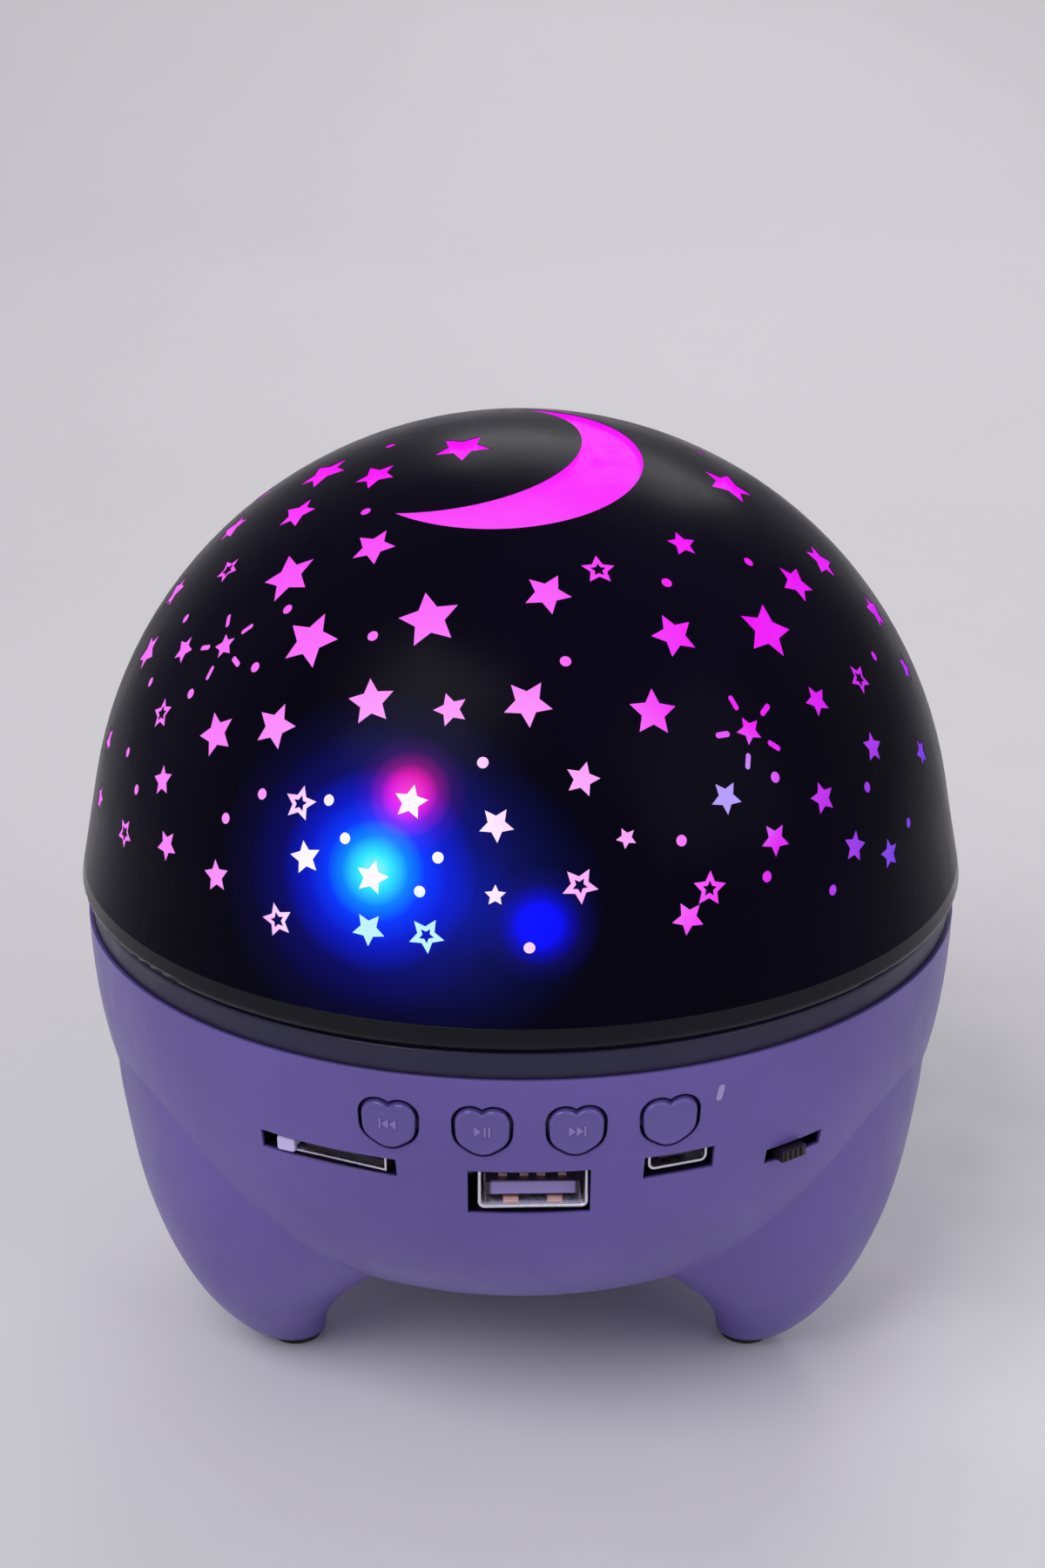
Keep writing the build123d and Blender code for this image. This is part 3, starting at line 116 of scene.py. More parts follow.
class Paint:
    """A material's node tree, with short calls to add nodes and join them."""

    def __init__(self, name):
        self.material = bpy.data.materials.new(name)
        self.material.use_nodes = True
        self.tree = self.material.node_tree
        self.shader = self.tree.nodes["Principled BSDF"]
        self.place = self.add("ShaderNodeTexCoord").outputs["Object"]

    def add(self, kind, inputs=None, **settings):
        node = self.tree.nodes.new(kind)
        for name, value in settings.items():
            setattr(node, name, value)
        for key, value in (inputs or {}).items():
            self.put(node.inputs[key], value)
        return node

    def put(self, socket, value):
        """Join another node's output to a socket, or set its own value."""
        if isinstance(value, bpy.types.NodeSocket):
            self.tree.links.new(value, socket)
        else:
            socket.default_value = value

    def shade(self, **inputs):
        """Set or join inputs of the shader, with underscores for the spaces in their names."""
        for name, value in inputs.items():
            self.put(self.shader.inputs[name.replace("_", " ")], value)

    def noise(self, scale, detail=2.0, roughness=0.5, stretch=(1, 1, 1)):
        place = self.place
        if stretch != (1, 1, 1):
            place = self.add("ShaderNodeMapping", {"Vector": place, "Scale": stretch}).outputs["Vector"]
        inputs = {"Vector": place, "Scale": scale, "Detail": detail, "Roughness": roughness}
        return self.add("ShaderNodeTexNoise", inputs).outputs["Fac"]

    def spread(self, value, low, high, from_low=0.3, from_high=0.7, interpolation="LINEAR"):
        """A value brought from one range to another and clamped there."""
        inputs = {
            "Value": value, "From Min": from_low, "From Max": from_high, "To Min": low, "To Max": high,
        }
        return self.add("ShaderNodeMapRange", inputs, interpolation_type=interpolation).outputs["Result"]

    def math(self, operation, first, second=0.0):
        return self.add("ShaderNodeMath", {0: first, 1: second}, operation=operation).outputs["Value"]

    def mix(self, share, first, second):
        """The first colour where the share is 0 and the second where it is 1."""
        inputs = {"Factor": share, "A": first, "B": second}
        node = self.add("ShaderNodeMix", data_type="RGBA")
        for name, value in inputs.items():
            kind = "VALUE" if name == "Factor" else "RGBA"
            socket = next(s for s in node.inputs if s.name == name and s.type == kind)
            self.put(socket, value)
        return next(s for s in node.outputs if s.type == "RGBA")

    def distance(self, point):
        inputs = {0: self.place, 1: tuple(point)}
        return self.add("ShaderNodeVectorMath", inputs, operation="DISTANCE").outputs["Value"]

    def split(self):
        return self.add("ShaderNodeSeparateXYZ", {"Vector": self.place}).outputs

    def ramp(self, value, stops):
        """A colour ramp from (position, colour) stops."""
        node = self.add("ShaderNodeValToRGB", {"Fac": value})
        elements = node.color_ramp.elements
        while len(elements) < len(stops):
            elements.new(0.5)
        for element, (position, color) in zip(elements, stops):
            element.position = position
            element.color = color
        return node.outputs["Color"]

    def edges(self, radius, low=0.88, high=0.995):
        """The rounded normal at sharp edges, and a mask that is 1 on those edges."""
        normal = self.add("ShaderNodeBevel", {"Radius": radius}, samples=4).outputs["Normal"]
        true_normal = self.add("ShaderNodeNewGeometry").outputs["Normal"]
        dot = self.add("ShaderNodeVectorMath", {0: normal, 1: true_normal}, operation="DOT_PRODUCT")
        return normal, self.spread(dot.outputs["Value"], 1.0, 0.0, low, high)

    def bump(self, height, strength, depth, normal=None):
        inputs = {"Height": height, "Strength": strength, "Distance": depth}
        if normal is not None:
            inputs["Normal"] = normal
        return self.add("ShaderNodeBump", inputs).outputs["Normal"]


def hole_side_shade(paint):
    """A mask of painted shade that is 1 on the cut sides of the holes in the bowl's wall."""
    inner_share, outer_share = 0.972, 0.99
    legs_top = 0.035
    parts = paint.split()
    across = paint.math("MULTIPLY", parts["X"], parts["X"])
    along = paint.math("MULTIPLY", parts["Y"], parts["Y"])
    radius = paint.math("SQRT", paint.math("ADD", across, along))
    level = paint.math("POWER", paint.math("DIVIDE", radius, bowl_radius), bowl_roundness)
    depth = paint.math("DIVIDE", paint.math("SUBTRACT", seam_height, parts["Z"]), bowl_depth)
    share = paint.math("ADD", level, paint.math("POWER", paint.math("MAXIMUM", depth, 0.0), bowl_roundness))
    above_legs = paint.math("GREATER_THAN", parts["Z"], legs_top)
    return paint.math("MULTIPLY", paint.spread(share, 1.0, 0.0, inner_share, outer_share), above_legs)


def tongue_root_shade(paint):
    """A mask of painted shade that is 1 behind and beside the front bar of the wide socket's tongue."""
    fade = 0.0003
    start = 0.0001 - tongue_front
    parts = paint.split()
    behind = paint.spread(parts["Y"], 0.0, 1.0, start, start + fade)
    middle = tongue_front * math.sin(math.radians(usb_azimuth))
    across = paint.math("ABSOLUTE", paint.math("SUBTRACT", parts["X"], middle))
    beside = paint.spread(across, 0.0, 1.0, tongue_bar, tongue_bar + fade)
    return paint.math("MAXIMUM", behind, beside)


def moulded(name, color, roughness, grain=0.25, wear=0.25, bevel=0.00015, gloss=0.5, dark=None):
    """Moulded plastic: slight mottling, a fine grain, uneven polish and paler, rounded edges, and painted
    shade where a dark mask is given.
    """
    paint = Paint(name)
    cloud = paint.noise(45, 3.0)
    speck = paint.noise(900, 2.0)
    tone = paint.mix(paint.spread(cloud, 0.0, 1.0), scaled(color, 0.92), scaled(color, 1.08))
    tone = paint.mix(paint.spread(speck, 0.0, 0.12, 0.62, 0.8), tone, scaled(color, 1.5))
    normal, edge = paint.edges(bevel)
    worn = paint.math("MULTIPLY", edge, paint.spread(paint.noise(260, 3.0), 0.1, wear))
    tone = paint.mix(worn, tone, scaled(color, 1.9))
    # Painted shade: where the dark mask is 1, the colour goes nearly black.
    if dark is not None:
        tone = paint.mix(dark(paint), tone, scaled(color, 0.06))
    paint.shade(Base_Color=tone)
    smudge = paint.noise(120, 4.0, 0.6, (1, 1, 0.6))
    paint.shade(Roughness=paint.spread(smudge, roughness - 0.07, roughness + 0.08))
    height = paint.noise(5200, 2.0)
    paint.shade(Normal=paint.bump(height, grain, 0.00004, normal))
    paint.shade(Specular_IOR_Level=gloss)
    return paint.material


def metal(name, color, roughness, scratch=0.3, bevel=0.0001, stretch=(1, 1, 6)):
    """Plated metal with drawn scratches, dull patches and rounded edges."""
    paint = Paint(name)
    patch = paint.noise(320, 3.0)
    paint.shade(Base_Color=paint.mix(paint.spread(patch, 0.0, 1.0), scaled(color, 0.82), color))
    lines = paint.noise(1500, 3.0, 0.7, stretch)
    paint.shade(Roughness=paint.spread(lines, roughness - 0.08, roughness + 0.12))
    normal, edge = paint.edges(bevel)
    paint.shade(Normal=paint.bump(lines, scratch, 0.00002, normal))
    paint.shade(Metallic=1.0)
    return paint.material


def dome_coat():
    """The black coat, with painted glows where the lights inside shine through it, and painted light on the
    edges around its windows.
    """
    paint = Paint("dome_coat")
    black = srgb(4, 2, 14)
    cloud = paint.noise(30, 2.0)
    paint.shade(Base_Color=paint.mix(paint.spread(cloud, 0.0, 1.0), black, srgb(9, 5, 26)))
    smear = paint.noise(70, 4.0, 0.6, (1, 1, 0.35))
    paint.shade(Roughness=paint.spread(smear, 0.2, 0.34))
    peel = paint.noise(420, 1.0)
    paint.shade(Normal=paint.bump(peel, 0.05, 0.00006))
    paint.shade(Specular_IOR_Level=0.03)
    glow = None
    for place, stops, reach in coat_glows():
        color = paint.ramp(paint.math("DIVIDE", paint.distance(place), reach), stops)
        if glow is None:
            glow = color
        else:
            glow = paint.add("ShaderNodeVectorMath", {0: glow, 1: color}, operation="ADD").outputs["Vector"]
    # Painted light: the walls of the windows glow in the stars' colours.
    below_skin, near_skin = dome_radius - 0.00014, dome_radius - 0.00006
    edge = paint.spread(paint.distance(dome_centre), 1.0, 0.0, below_skin, near_skin)
    paint.shade(Emission_Color=paint.mix(edge, glow, star_color(paint)), Emission_Strength=1.0)
    return paint.material


def coat_glows():
    """Each painted glow's place, its colours from the middle outwards and its reach."""
    dark = (0, 0, 0, 1)
    blue = [
        (0.0, srgb(150, 250, 252)), (0.09, srgb(50, 235, 250)), (0.19, srgb(6, 130, 250)),
        (0.28, srgb(4, 54, 250)), (0.4, srgb(6, 24, 195)), (0.56, srgb(6, 8, 96)), (0.78, srgb(3, 3, 42)),
        (1.0, dark),
    ]
    red = [
        (0.0, srgb(255, 60, 150)), (0.32, srgb(220, 8, 150)), (0.5, srgb(120, 0, 90)),
        (0.72, srgb(40, 0, 45)), (1.0, dark),
    ]
    spot = [
        (0.0, srgb(5, 8, 255)), (0.34, srgb(4, 6, 245)), (0.5, srgb(5, 3, 160)),
        (0.7, srgb(5, 2, 70)), (1.0, dark),
    ]
    return [
        (on_dome(-17.7, 17.8), blue, 0.021),
        (on_dome(-14.3, 26.9), red, 0.0068),
        (on_dome(2.2, 12.6), spot, 0.0068),
        (on_dome(-6.5, 15.0), [(0.0, srgb(6, 22, 130)), (0.4, srgb(4, 12, 70)), (1.0, dark)], 0.016),
    ]


def star_color(paint):
    """The light in the stars: magenta, white near the lights, paler at the left, violet at the right."""
    near = paint.math("DIVIDE", paint.distance(on_dome(-14.0, 16.0)), 0.1)
    glow = paint.ramp(near, [
        (0.0, srgb(255, 254, 255)), (0.13, srgb(253, 250, 254)), (0.2, srgb(250, 160, 250)),
        (0.31, srgb(249, 112, 250)), (0.46, srgb(249, 70, 250)), (0.56, srgb(250, 22, 250)),
        (0.8, srgb(248, 2, 248)),
    ])
    parts = paint.split()
    right = paint.spread(parts["X"], 0.0, 0.8, 0.001, 0.022, "SMOOTHSTEP")
    glow = paint.mix(right, glow, srgb(240, 8, 248))
    left = paint.spread(parts["X"], 0.45, 0.0, -0.048, -0.022, "SMOOTHSTEP")
    glow = paint.mix(left, glow, srgb(240, 170, 250))
    pale = paint.math("DIVIDE", paint.distance(on_dome(8.0, 22.0)), 0.02)
    glow = paint.mix(paint.spread(pale, 0.75, 0.0, 0.0, 1.0, "SMOOTHSTEP"), glow, srgb(252, 190, 250))
    under = paint.math("DIVIDE", paint.distance(on_dome(-14.5, 8.5)), 0.009)
    glow = paint.mix(paint.spread(under, 1.0, 0.0, 0.6, 1.0, "SMOOTHSTEP"), glow, srgb(190, 246, 255))
    side = paint.spread(parts["X"], 0.0, 1.0, 0.022, 0.046, "SMOOTHSTEP")
    low = paint.spread(parts["Z"], 1.0, 0.25, 0.082, 0.104, "SMOOTHSTEP")
    violet = paint.math("MULTIPLY", side, low)
    glow = paint.mix(violet, glow, srgb(112, 66, 224))
    cool = paint.math("DIVIDE", paint.distance(on_dome(28.0, 25.5)), 0.009)
    glow = paint.mix(paint.spread(cool, 0.9, 0.0, 0.2, 1.0, "SMOOTHSTEP"), glow, srgb(170, 165, 254))
    flicker = paint.noise(150, 3.0)
    return paint.mix(paint.spread(flicker, 0.0, 0.06), glow, srgb(255, 120, 255))


def dome_light():
    """The lit shell that shows through the stars."""
    paint = Paint("dome_light")
    paint.shade(Emission_Color=star_color(paint), Emission_Strength=1.0)
    cloud = paint.noise(200, 2.0)
    paint.shade(Base_Color=paint.mix(paint.spread(cloud, 0.0, 1.0), srgb(24, 5, 26), srgb(36, 9, 40)))
    paint.shade(Roughness=paint.spread(paint.noise(400, 2.0), 0.42, 0.6))
    paint.shade(Specular_IOR_Level=0.06)
    return paint.material


def lit(name, color, glow, strength, roughness=0.3):
    """Clear or milky resin that glows, uneven like a moulded part."""
    paint = Paint(name)
    cloud = paint.noise(700, 2.0)
    paint.shade(Base_Color=paint.mix(paint.spread(cloud, 0.0, 1.0), scaled(color, 0.85), color))
    paint.shade(Emission_Color=paint.mix(paint.spread(cloud, 0.0, 0.5), glow, scaled(glow, 0.6)))
    paint.shade(Emission_Strength=strength)
    paint.shade(Roughness=paint.spread(paint.noise(1500), roughness, roughness + 0.12))
    return paint.material


def lamp_leds():
    """Light chips in different colours around the lamp's axis."""
    paint = Paint("led_chips")
    parts = paint.split()
    angle = paint.math("ARCTAN2", parts["Y"], parts["X"])
    turn = paint.spread(angle, 0.0, 1.0, -math.pi, math.pi)
    stops = [srgb(255, 40, 90), srgb(60, 90, 255), srgb(235, 60, 245), srgb(255, 60, 60),
             srgb(70, 210, 255), srgb(235, 60, 245)]
    ring = paint.ramp(turn, [(step / len(stops), color) for step, color in enumerate(stops)])
    ring.node.color_ramp.interpolation = "CONSTANT"
    middle = paint.math("LESS_THAN", paint.distance((0, 0, lamp_board_top)), 0.004)
    glow = paint.mix(middle, ring, srgb(255, 235, 255))
    paint.shade(Emission_Color=glow, Emission_Strength=1.6, Base_Color=srgb(245, 238, 200))
    paint.shade(Roughness=paint.spread(paint.noise(2500), 0.2, 0.4))
    return paint.material


def board(name, color, trace):
    """Solder mask over copper tracks."""
    paint = Paint(name)
    bricks = paint.add("ShaderNodeTexBrick", {
        "Vector": paint.place, "Scale": 260.0, "Mortar Size": 0.09, "Color1": (0, 0, 0, 1),
        "Color2": (0, 0, 0, 1), "Mortar": (1, 1, 1, 1),
    }).outputs["Color"]
    wander = paint.spread(paint.noise(600, 2.0), 0.0, 1.0, 0.46, 0.54)
    tracks = paint.math("MULTIPLY", bricks, wander)
    cloud = paint.noise(90, 3.0)
    tone = paint.mix(paint.spread(cloud, 0.0, 1.0), scaled(color, 0.8), color)
    paint.shade(Base_Color=paint.mix(tracks, tone, trace))
    paint.shade(Roughness=paint.spread(paint.noise(500), 0.28, 0.42))
    paint.shade(Normal=paint.bump(tracks, 0.4, 0.00004))
    return paint.material


def paper(name, color):
    """Pressed fibre with a felted surface."""
    paint = Paint(name)
    fibre = paint.noise(2600, 4.0, 0.7, (1, 1, 3))
    paint.shade(Base_Color=paint.mix(paint.spread(fibre, 0.0, 1.0), scaled(color, 0.6), scaled(color, 1.5)))
    paint.shade(Roughness=paint.spread(fibre, 0.75, 0.95))
    paint.shade(Normal=paint.bump(fibre, 0.6, 0.00008))
    return paint.material


def rubber(name, color):
    """Soft rubber with a dusty, pitted skin."""
    paint = Paint(name)
    pits = paint.noise(2200, 3.0, 0.6)
    dust = paint.noise(180, 4.0, 0.6)
    paint.shade(Base_Color=paint.mix(paint.spread(dust, 0.0, 0.5, 0.45, 0.75), color, scaled(color, 3.0)))
    paint.shade(Roughness=paint.spread(pits, 0.62, 0.85))
    normal, edge = paint.edges(0.0003)
    paint.shade(Normal=paint.bump(pits, 0.5, 0.00006, normal))
    return paint.material


purple = srgb(102, 86, 165)
# Painted shade: the body goes nearly black on the cut sides of the holes in its wall.
body_paint = moulded("body_plastic", purple, 0.36, grain=0.2, gloss=0.45, dark=hole_side_shade)
deck_paint = moulded("deck_plastic", srgb(36, 32, 62), 0.38, grain=0.2, gloss=0.35)
rim_paint = moulded("rim_plastic", srgb(9, 8, 20), 0.22, grain=0.04, wear=0.1, bevel=0.00012, gloss=0.2)
key_paint = moulded("key_plastic", srgb(98, 84, 160), 0.22, grain=0.06)
mark_paint = moulded("mark_plastic", srgb(140, 124, 196), 0.3, grain=0.1)
black_paint = moulded("black_plastic", srgb(18, 15, 26), 0.42, grain=0.4)
knob_paint = moulded("knob_plastic", srgb(13, 9, 22), 0.38, grain=0.3)
white_paint = moulded("white_plastic", srgb(226, 224, 232), 0.45, grain=0.3)
natural_paint = moulded("natural_plastic", srgb(218, 215, 202), 0.4, grain=0.3)
# Painted shade: the tongue goes nearly black behind and beside its front bar, inside the socket.
tongue_paint = moulded("tongue_plastic", srgb(150, 134, 200), 0.35, grain=0.2, dark=tongue_root_shade)
wrap_paint = moulded("wrap_plastic", srgb(40, 105, 190), 0.25, grain=0.2)
steel_paint = metal("bright_steel", srgb(238, 236, 246), 0.3, scratch=0.05)
zinc_paint = metal("zinc_steel", srgb(186, 186, 192), 0.32)
can_paint = metal("can_steel", srgb(196, 197, 202), 0.3)
gold_paint = metal("gold_plate", srgb(228, 190, 120), 0.28)
# The card catch's pale lavender is a painted reflection: plated metal drawn as plastic in the bright colour
# of its shine.
latch_sheen_paint = moulded("latch_painted_sheen", srgb(206, 192, 244), 0.35, grain=0.1)
contact_paint = metal("contact_plate", srgb(250, 206, 196), 0.45)
ferrite_paint = metal("ferrite", srgb(70, 70, 76), 0.6, scratch=0.6)
coat_paint = dome_coat()
light_paint = dome_light()
chip_paint = lamp_leds()
pipe_paint = lit("light_pipe", srgb(150, 138, 194), srgb(170, 156, 220), 0.15)
clear_paint = lit("clear_lens", srgb(240, 236, 246), srgb(255, 180, 250), 0.9, 0.08)
board_paint = board("green_board", srgb(20, 92, 48), srgb(96, 160, 96))
lamp_board_paint = board("white_board", srgb(222, 222, 226), srgb(190, 188, 178))
rubber_paint = rubber("foot_rubber", srgb(22, 20, 28))
surround_paint = rubber("surround_rubber", srgb(30, 29, 34))
cone_paint = paper("cone_paper", srgb(48, 46, 50))

node_paints = {
    "lower_housing": body_paint, "rubber_feet": rubber_paint, "upper_deck": deck_paint,
    "deck_screws": zinc_paint, "turntable": natural_paint, "drive_pinion": natural_paint,
    "motor_shaft": zinc_paint, "motor_gearbox": black_paint, "drive_motor": can_paint,
    "motor_screws": zinc_paint, "lamp_base": white_paint, "lamp_board": lamp_board_paint,
    "lamp_leds": chip_paint, "lamp_lens": clear_paint, "lamp_screws": zinc_paint,
    "dome_mask": coat_paint, "dome_lens": light_paint, "dome_rim": rim_paint,
    "key_board": board_paint, "key_board_screws": zinc_paint, "key_switches": black_paint,
    "status_light": pipe_paint, "status_led": chip_paint, "card_socket": steel_paint,
    "card_carrier": black_paint, "card_latch": latch_sheen_paint, "usb_shell": steel_paint,
    "usb_tongue": tongue_paint, "usb_contacts": contact_paint, "charge_socket": steel_paint,
    "charge_tongue": black_paint, "switch_body": black_paint, "switch_knob": knob_paint,
    "main_board": board_paint, "board_screws": zinc_paint, "board_chips": black_paint,
    "radio_module": can_paint, "capacitors": can_paint, "battery_cell": wrap_paint,
    "battery_contacts": gold_paint, "battery_tray": black_paint, "tray_screws": zinc_paint,
    "speaker_grille": black_paint, "speaker_frame": can_paint, "speaker_screws": zinc_paint,
    "speaker_surround": surround_paint, "speaker_cone": cone_paint, "voice_coil": gold_paint,
    "dust_cap": cone_paint, "speaker_magnet": ferrite_paint, "speaker_yoke": can_paint,
    "heart_key_1": key_paint, "heart_key_2": key_paint, "heart_key_3": key_paint,
    "heart_key_4": key_paint,
}
for name, material in node_paints.items():
    nodes[name].data.materials.clear()
    nodes[name].data.materials.append(material)


# Keys, sockets and knob


def surface_radius(z, out):
    """The bowl's radius at a height, moved outward by a distance."""
    depth = max(0.0, seam_height - z) / bowl_depth
    return bowl_radius * (1 - depth ** bowl_roundness) ** (1 / bowl_roundness) + out


def on_wall(x, z, out):
    """A point of the bowl's front wall, moved outward by a distance."""
    radius = surface_radius(z, out)
    return Vector((x, -math.sqrt(radius * radius - x * x), z))


def bridge(mesh, rings):
    """Four-sided faces between each ring of points and the next."""
    for outer, inner in zip(rings, rings[1:]):
        for step in range(len(outer)):
            following = (step + 1) % len(outer)
            mesh.faces.new((outer[step], outer[following], inner[following], inner[step]))


def in_heart(x, z):
    """Whether a point lies within the key's heart: each half is drawn around three circles."""
    steps = 24
    for side in (-1, 1):
        lobe = (side * heart_lobe_offset, heart_lobe_height, heart_lobe_radius)
        belly = (side * heart_belly_offset, -heart_belly_drop, heart_belly_radius)
        tip = (0.0, -heart_tip_drop, heart_tip_radius)
        for first, second in ((lobe, belly), (belly, tip), (lobe, tip)):
            for step in range(steps + 1):
                share = step / steps
                centre_x, centre_z, radius = [a + (b - a) * share for a, b in zip(first, second)]
                if math.hypot(x - centre_x, z - centre_z) < radius:
                    return True
    return False


def heart_outline(count):
    """Points of the heart's edge around its middle."""
    points = []
    middle_z = heart_middle - key_height
    for step in range(count):
        angle = 2 * math.pi * step / count
        low, high = 0.0, 0.006
        for _ in range(18):
            reach = (low + high) / 2
            if in_heart(reach * math.cos(angle), middle_z + reach * math.sin(angle)):
                low = reach
            else:
                high = reach
        points.append((low * math.cos(angle), low * math.sin(angle)))
    return points


def key_face(number, x, outline):
    """The key's moulded front: a rounded edge around a shallow dish."""
    profile = (
        (1.0, -0.25), (1.0, -0.04), (0.985, 0.06), (0.95, 0.16), (0.9, 0.21), (0.85, 0.2), (0.79, 0.13),
        (0.72, 0.09), (0.5, 0.08), (0.25, 0.08),
    )
    mesh = bmesh.new()
    rings = []
    for share, rise in profile:
        ring = []
        for across, up in outline:
            place = on_wall(x + across * share, heart_middle + up * share, key_proud + rise / 1000)
            ring.append(mesh.verts.new(place))
        rings.append(ring)
    bridge(mesh, rings)
    mesh.faces.new(rings[0])
    centre = mesh.verts.new(on_wall(x, heart_middle, key_proud + 0.00008))
    last = rings[-1]
    for step in range(len(last)):
        mesh.faces.new((last[step], last[(step + 1) % len(last)], centre))
    face = finished(f"key_face_{number}", mesh, smooth=True)
    face.data.materials.append(key_paint)
    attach(face, f"key_{number}")


def key_icon(number, x, shapes):
    """Small raised signs on a key, each a flat outline in millimetres."""
    mesh = bmesh.new()
    for shape in shapes:
        front = []
        back = []
        for across, up in shape:
            place_x = x + across / 1000
            place_z = key_height + up / 1000
            front.append(mesh.verts.new(on_wall(place_x, place_z, key_proud + 0.0002)))
            back.append(mesh.verts.new(on_wall(place_x, place_z, key_proud + 0.00003)))
        mesh.faces.new(front)
        mesh.faces.new(back[::-1])
        bridge(mesh, (back, front))
    icon = finished(f"key_icon_{number}", mesh)
    icon.data.materials.append(mark_paint)
    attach(icon, f"key_{number}")


def arrow(x, side):
    """A triangle that points to one side."""
    return [(x, -0.65), (x + side * 0.85, 0.0), (x, 0.65)]


def bar(x):
    """A narrow upright stroke."""
    return [(x - 0.13, -0.65), (x + 0.13, -0.65), (x + 0.13, 0.65), (x - 0.13, 0.65)]


def rounded_loop(width, height, corner):
    """Points of a rectangle with rounded corners, from its middle."""
    points = []
    for turn, side_x, side_z in ((0, 1, 1), (90, -1, 1), (180, -1, -1), (270, 1, -1)):
        for step in range(7):
            angle = math.radians(turn + 15 * step)
            x = side_x * (width / 2 - corner) + corner * math.cos(angle)
            points.append((x, side_z * (height / 2 - corner) + corner * math.sin(angle)))
    return points


def wall_place(azimuth, across, z, out):
    """A point at an azimuth: level along the wall, its height, and its distance from the axis."""
    turn = math.radians(azimuth)
    outward = Vector((math.sin(turn), -math.cos(turn), 0))
    level = Vector((math.cos(turn), math.sin(turn), 0))
    return level * across + outward * out + Vector((0, 0, z))


def usb_place(across, up, out):
    """A point of the wide socket, from the middle of its mouth."""
    return wall_place(usb_azimuth, across, usb_height + up, out)


def latch_tab():
    """The bent, rounded tab of the card catch in front of the left end of the card socket's mouth."""
    width, height = latch_size
    rolled = ((0.0, 0.00002), (0.0, 0.00045), (0.00006, 0.00056), (0.00018, 0.0006))
    mesh = bmesh.new()
    rings = []
    for inset, out in rolled:
        ring = []
        for across, up in rounded_loop(width - 2 * inset, height - 2 * inset, latch_corner - inset):
            place = wall_place(card_azimuth, latch_shift + across, card_height + up, card_mouth + out)
            ring.append(mesh.verts.new(place))
        rings.append(ring)
    bridge(mesh, rings)
    mesh.faces.new(rings[0])
    mesh.faces.new(rings[-1][::-1])
    tab = finished("latch_tab", mesh)
    tab.data.materials.append(latch_sheen_paint)
    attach(tab, "base")


def usb_can():
    """The wide socket's folded steel can, with rounded corners and a rolled mouth."""
    width, height = usb_size
    back = usb_front - usb_length
    rolled = (
        (0.0, back), (0.0, usb_front - 0.0002), (0.00006, usb_front - 0.00006), (0.00016, usb_front),
        (usb_wall - 0.00012, usb_front), (usb_wall, usb_front - 0.00012), (usb_wall, back + usb_wall),
    )
    mesh = bmesh.new()
    rings = []
    for inset, out in rolled:
        loop = rounded_loop(width - 2 * inset, height - 2 * inset, usb_corner - inset)
        rings.append([mesh.verts.new(usb_place(across, up, out)) for across, up in loop])
    bridge(mesh, rings)
    mesh.faces.new(rings[0])
    mesh.faces.new(rings[-1][::-1])
    can = finished("usb_can", mesh, smooth=True)
    can.data.materials.append(steel_paint)
    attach(can, "base")
    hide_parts("usb_shell")


def usb_springs():
    """Two leaf springs that rise from the floor of the wide socket."""
    floor = usb_wall - usb_size[1] / 2
    bend = ((0.6, 0.02), (1.1, 0.3), (1.6, 0.48), (2.2, 0.5), (3.2, 0.32), (4.6, 0.1), (6.0, 0.02))
    half = 0.0009
    thickness = 0.00018
    mesh = bmesh.new()
    for middle in (-0.0026, 0.0026):
        rows = []
        for behind, rise in bend:
            out = usb_front - behind / 1000
            low = floor + rise / 1000
            corners = ((-half, 0.0), (half, 0.0), (half, thickness), (-half, thickness))
            row = [mesh.verts.new(usb_place(middle + across, low + up, out)) for across, up in corners]
            rows.append(row)
        bridge(mesh, rows)
        mesh.faces.new(rows[0])
        mesh.faces.new(rows[-1][::-1])
    springs = finished("usb_springs", mesh)
    springs.data.materials.append(contact_paint)
    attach(springs, "base")


def knob_ribs():
    """Four upright grip ribs on the front of the power knob."""
    section = [(-0.2, -0.05), (-0.2, 0.1), (-0.12, 0.2), (0.0, 0.23), (0.12, 0.2), (0.2, 0.1), (0.2, -0.05)]
    levels = [(-0.68, 0.4), (-0.62, 0.85), (-0.5, 1.0), (0.5, 1.0), (0.62, 0.85), (0.68, 0.4)]
    mesh = bmesh.new()
    for shift in (-1.2, -0.4, 0.4, 1.2):
        rows = []
        for up, fullness in levels:
            row = []
            for across, out in section:
                along = knob_shift + (shift + across) / 1000
                rise = out * fullness if out > 0 else out
                z = slider_height + up / 1000
                row.append(mesh.verts.new(wall_place(slider_azimuth, along, z, knob_front + rise / 1000)))
            rows.append(row)
        bridge(mesh, rows)
        mesh.faces.new(rows[0])
        mesh.faces.new(rows[-1][::-1])
    ribs = finished("knob_ribs", mesh)
    ribs.data.materials.append(knob_paint)
    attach(ribs, "power_knob")


# Floor, light and camera


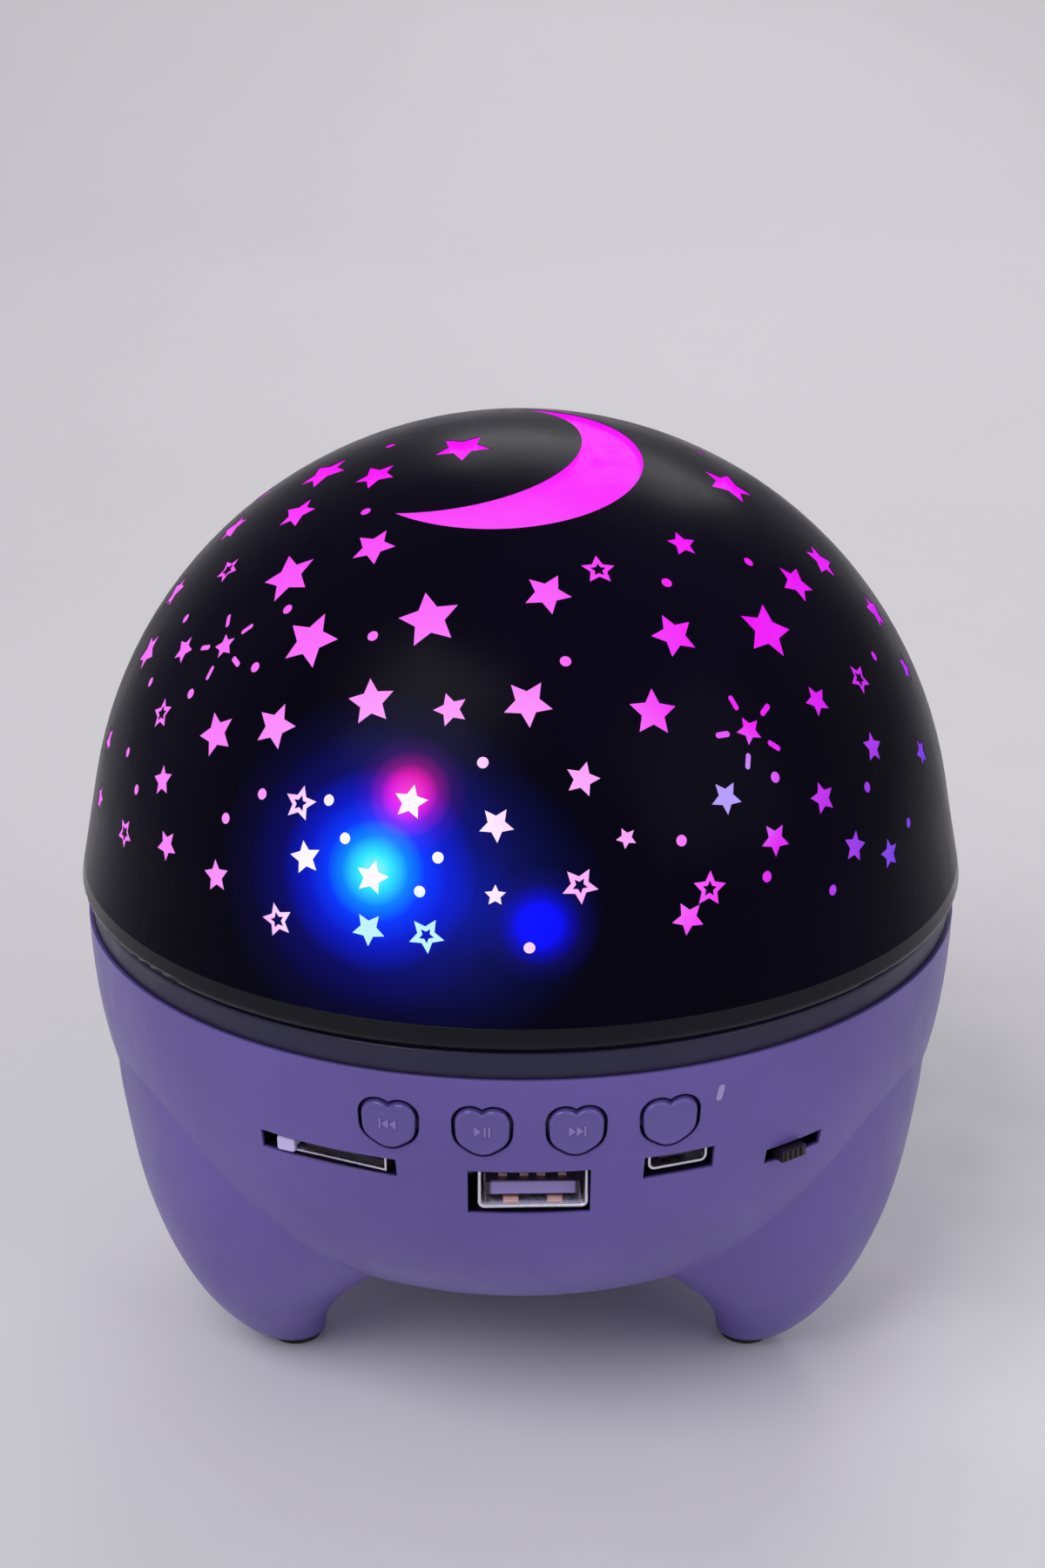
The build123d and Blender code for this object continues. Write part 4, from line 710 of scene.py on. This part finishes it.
def stage_floor():
    """A pale floor that curves up into a backdrop behind the lamp."""
    half_width = 2.6
    front = -1.8
    bend_start = 0.9
    bend_radius = 0.7
    top = 2.6
    steps = 16
    profile = [(front, 0.0)]
    for step in range(steps + 1):
        angle = math.pi / 2 * step / steps
        y = bend_start + bend_radius * math.sin(angle)
        profile.append((y, bend_radius * (1 - math.cos(angle))))
    profile.append((bend_start + bend_radius, top))
    mesh = bmesh.new()
    rows = []
    for y, z in profile:
        rows.append([mesh.verts.new((x, y, z)) for x in (-half_width, half_width)])
    for low, high in zip(rows, rows[1:]):
        mesh.faces.new((low[0], low[1], high[1], high[0]))
    floor = finished("floor", mesh, smooth=True)
    paint = Paint("floor_paint")
    cloud = paint.noise(1.2, 3.0)
    paint.shade(Base_Color=paint.mix(paint.spread(cloud, 0.0, 1.0), srgb(226, 224, 228), srgb(236, 234, 238)))
    paint.shade(Roughness=paint.spread(paint.noise(60, 2.0), 0.5, 0.65))
    floor.data.materials.append(paint.material)


def finished(name, mesh, smooth=False):
    """An object from a bmesh, linked to the scene."""
    bmesh.ops.recalc_face_normals(mesh, faces=mesh.faces)
    data = bpy.data.meshes.new(name)
    mesh.to_mesh(data)
    mesh.free()
    for polygon in data.polygons:
        polygon.use_smooth = smooth
    made = bpy.data.objects.new(name, data)
    bpy.context.scene.collection.objects.link(made)
    return made


def area_light(name, place, target, size, power):
    """A soft white lamp that faces its target."""
    data = bpy.data.lights.new(name, "AREA")
    data.shape = "RECTANGLE"
    data.size, data.size_y = size
    data.energy = power
    lamp = bpy.data.objects.new(name, data)
    lamp.location = place
    lamp.rotation_euler = (Vector(target) - Vector(place)).to_track_quat("-Z", "Y").to_euler()
    bpy.context.scene.collection.objects.link(lamp)


def studio():
    """Three soft lamps around the middle of the night light, and the world."""
    middle = (0, 0, 0.06)
    area_light("key_light", (-0.55, -0.75, 1.15), middle, (0.8, 0.8), 9.5)
    area_light("fill_light", (0.95, -0.7, 0.75), middle, (0.9, 0.9), 3.2)
    area_light("back_light", (0.2, 1.1, 0.9), middle, (0.9, 0.5), 4.5)
    bpy.context.scene.world = studio_world()
    bpy.context.scene.view_settings.view_transform = "Standard"


def studio_world():
    """A weak even light all around, which the eye and the glossy surfaces see as a pale backdrop."""
    world = bpy.data.worlds.new("studio")
    world.use_nodes = True
    tree = world.node_tree
    light = tree.nodes["Background"]
    light.inputs["Color"].default_value = (0.9, 0.9, 0.94, 1)
    light.inputs["Strength"].default_value = 0.3
    backdrop = tree.nodes.new("ShaderNodeBackground")
    backdrop.inputs["Color"].default_value = srgb(192, 191, 196)
    rays = tree.nodes.new("ShaderNodeLightPath").outputs
    seen = rays["Is Camera Ray"]
    for kind in ("Is Glossy Ray", "Is Transmission Ray"):
        either = tree.nodes.new("ShaderNodeMath")
        either.operation = "MAXIMUM"
        tree.links.new(seen, either.inputs[0])
        tree.links.new(rays[kind], either.inputs[1])
        seen = either.outputs["Value"]
    mixed = tree.nodes.new("ShaderNodeMixShader")
    for socket, output in zip(mixed.inputs, (seen, light.outputs[0], backdrop.outputs[0])):
        tree.links.new(output, socket)
    tree.links.new(mixed.outputs[0], tree.nodes["World Output"].inputs["Surface"])
    return world


def camera():
    """The photo's viewpoint: straight in front, looking down at the seam."""
    data = bpy.data.cameras.new("camera")
    data.sensor_fit = "VERTICAL"
    data.sensor_height = sensor_height
    data.lens = focal_pixels / photo_height * sensor_height
    data.shift_x = (photo_width / 2 - aim_pixel[0]) / photo_height
    data.shift_y = (aim_pixel[1] - photo_height / 2) / photo_height
    view = bpy.data.objects.new("camera", data)
    back = camera_distance * math.cos(camera_elevation)
    view.location = (0, -back, seam_height + camera_distance * math.sin(camera_elevation))
    view.rotation_euler = (math.pi / 2 - camera_elevation, 0, 0)
    bpy.context.scene.collection.objects.link(view)
    bpy.context.scene.camera = view


key_signs = (
    [arrow(0.0, -1), arrow(0.9, -1), bar(-1.0)],
    [arrow(-0.95, 1), bar(0.3), bar(0.8)],
    [arrow(0.0, 1), arrow(-0.9, 1), bar(1.0)],
)
key_places = [bowl_radius * math.sin(math.radians(azimuth)) for azimuth in key_azimuths]
heart_edge = heart_outline(96)
for number, x in enumerate(key_places, start=1):
    key_face(number, x, heart_edge)
for number, signs in enumerate(key_signs, start=1):
    key_icon(number, key_places[number - 1], signs)
knob_ribs()
latch_tab()
usb_can()
usb_springs()
stage_floor()
studio()
camera()
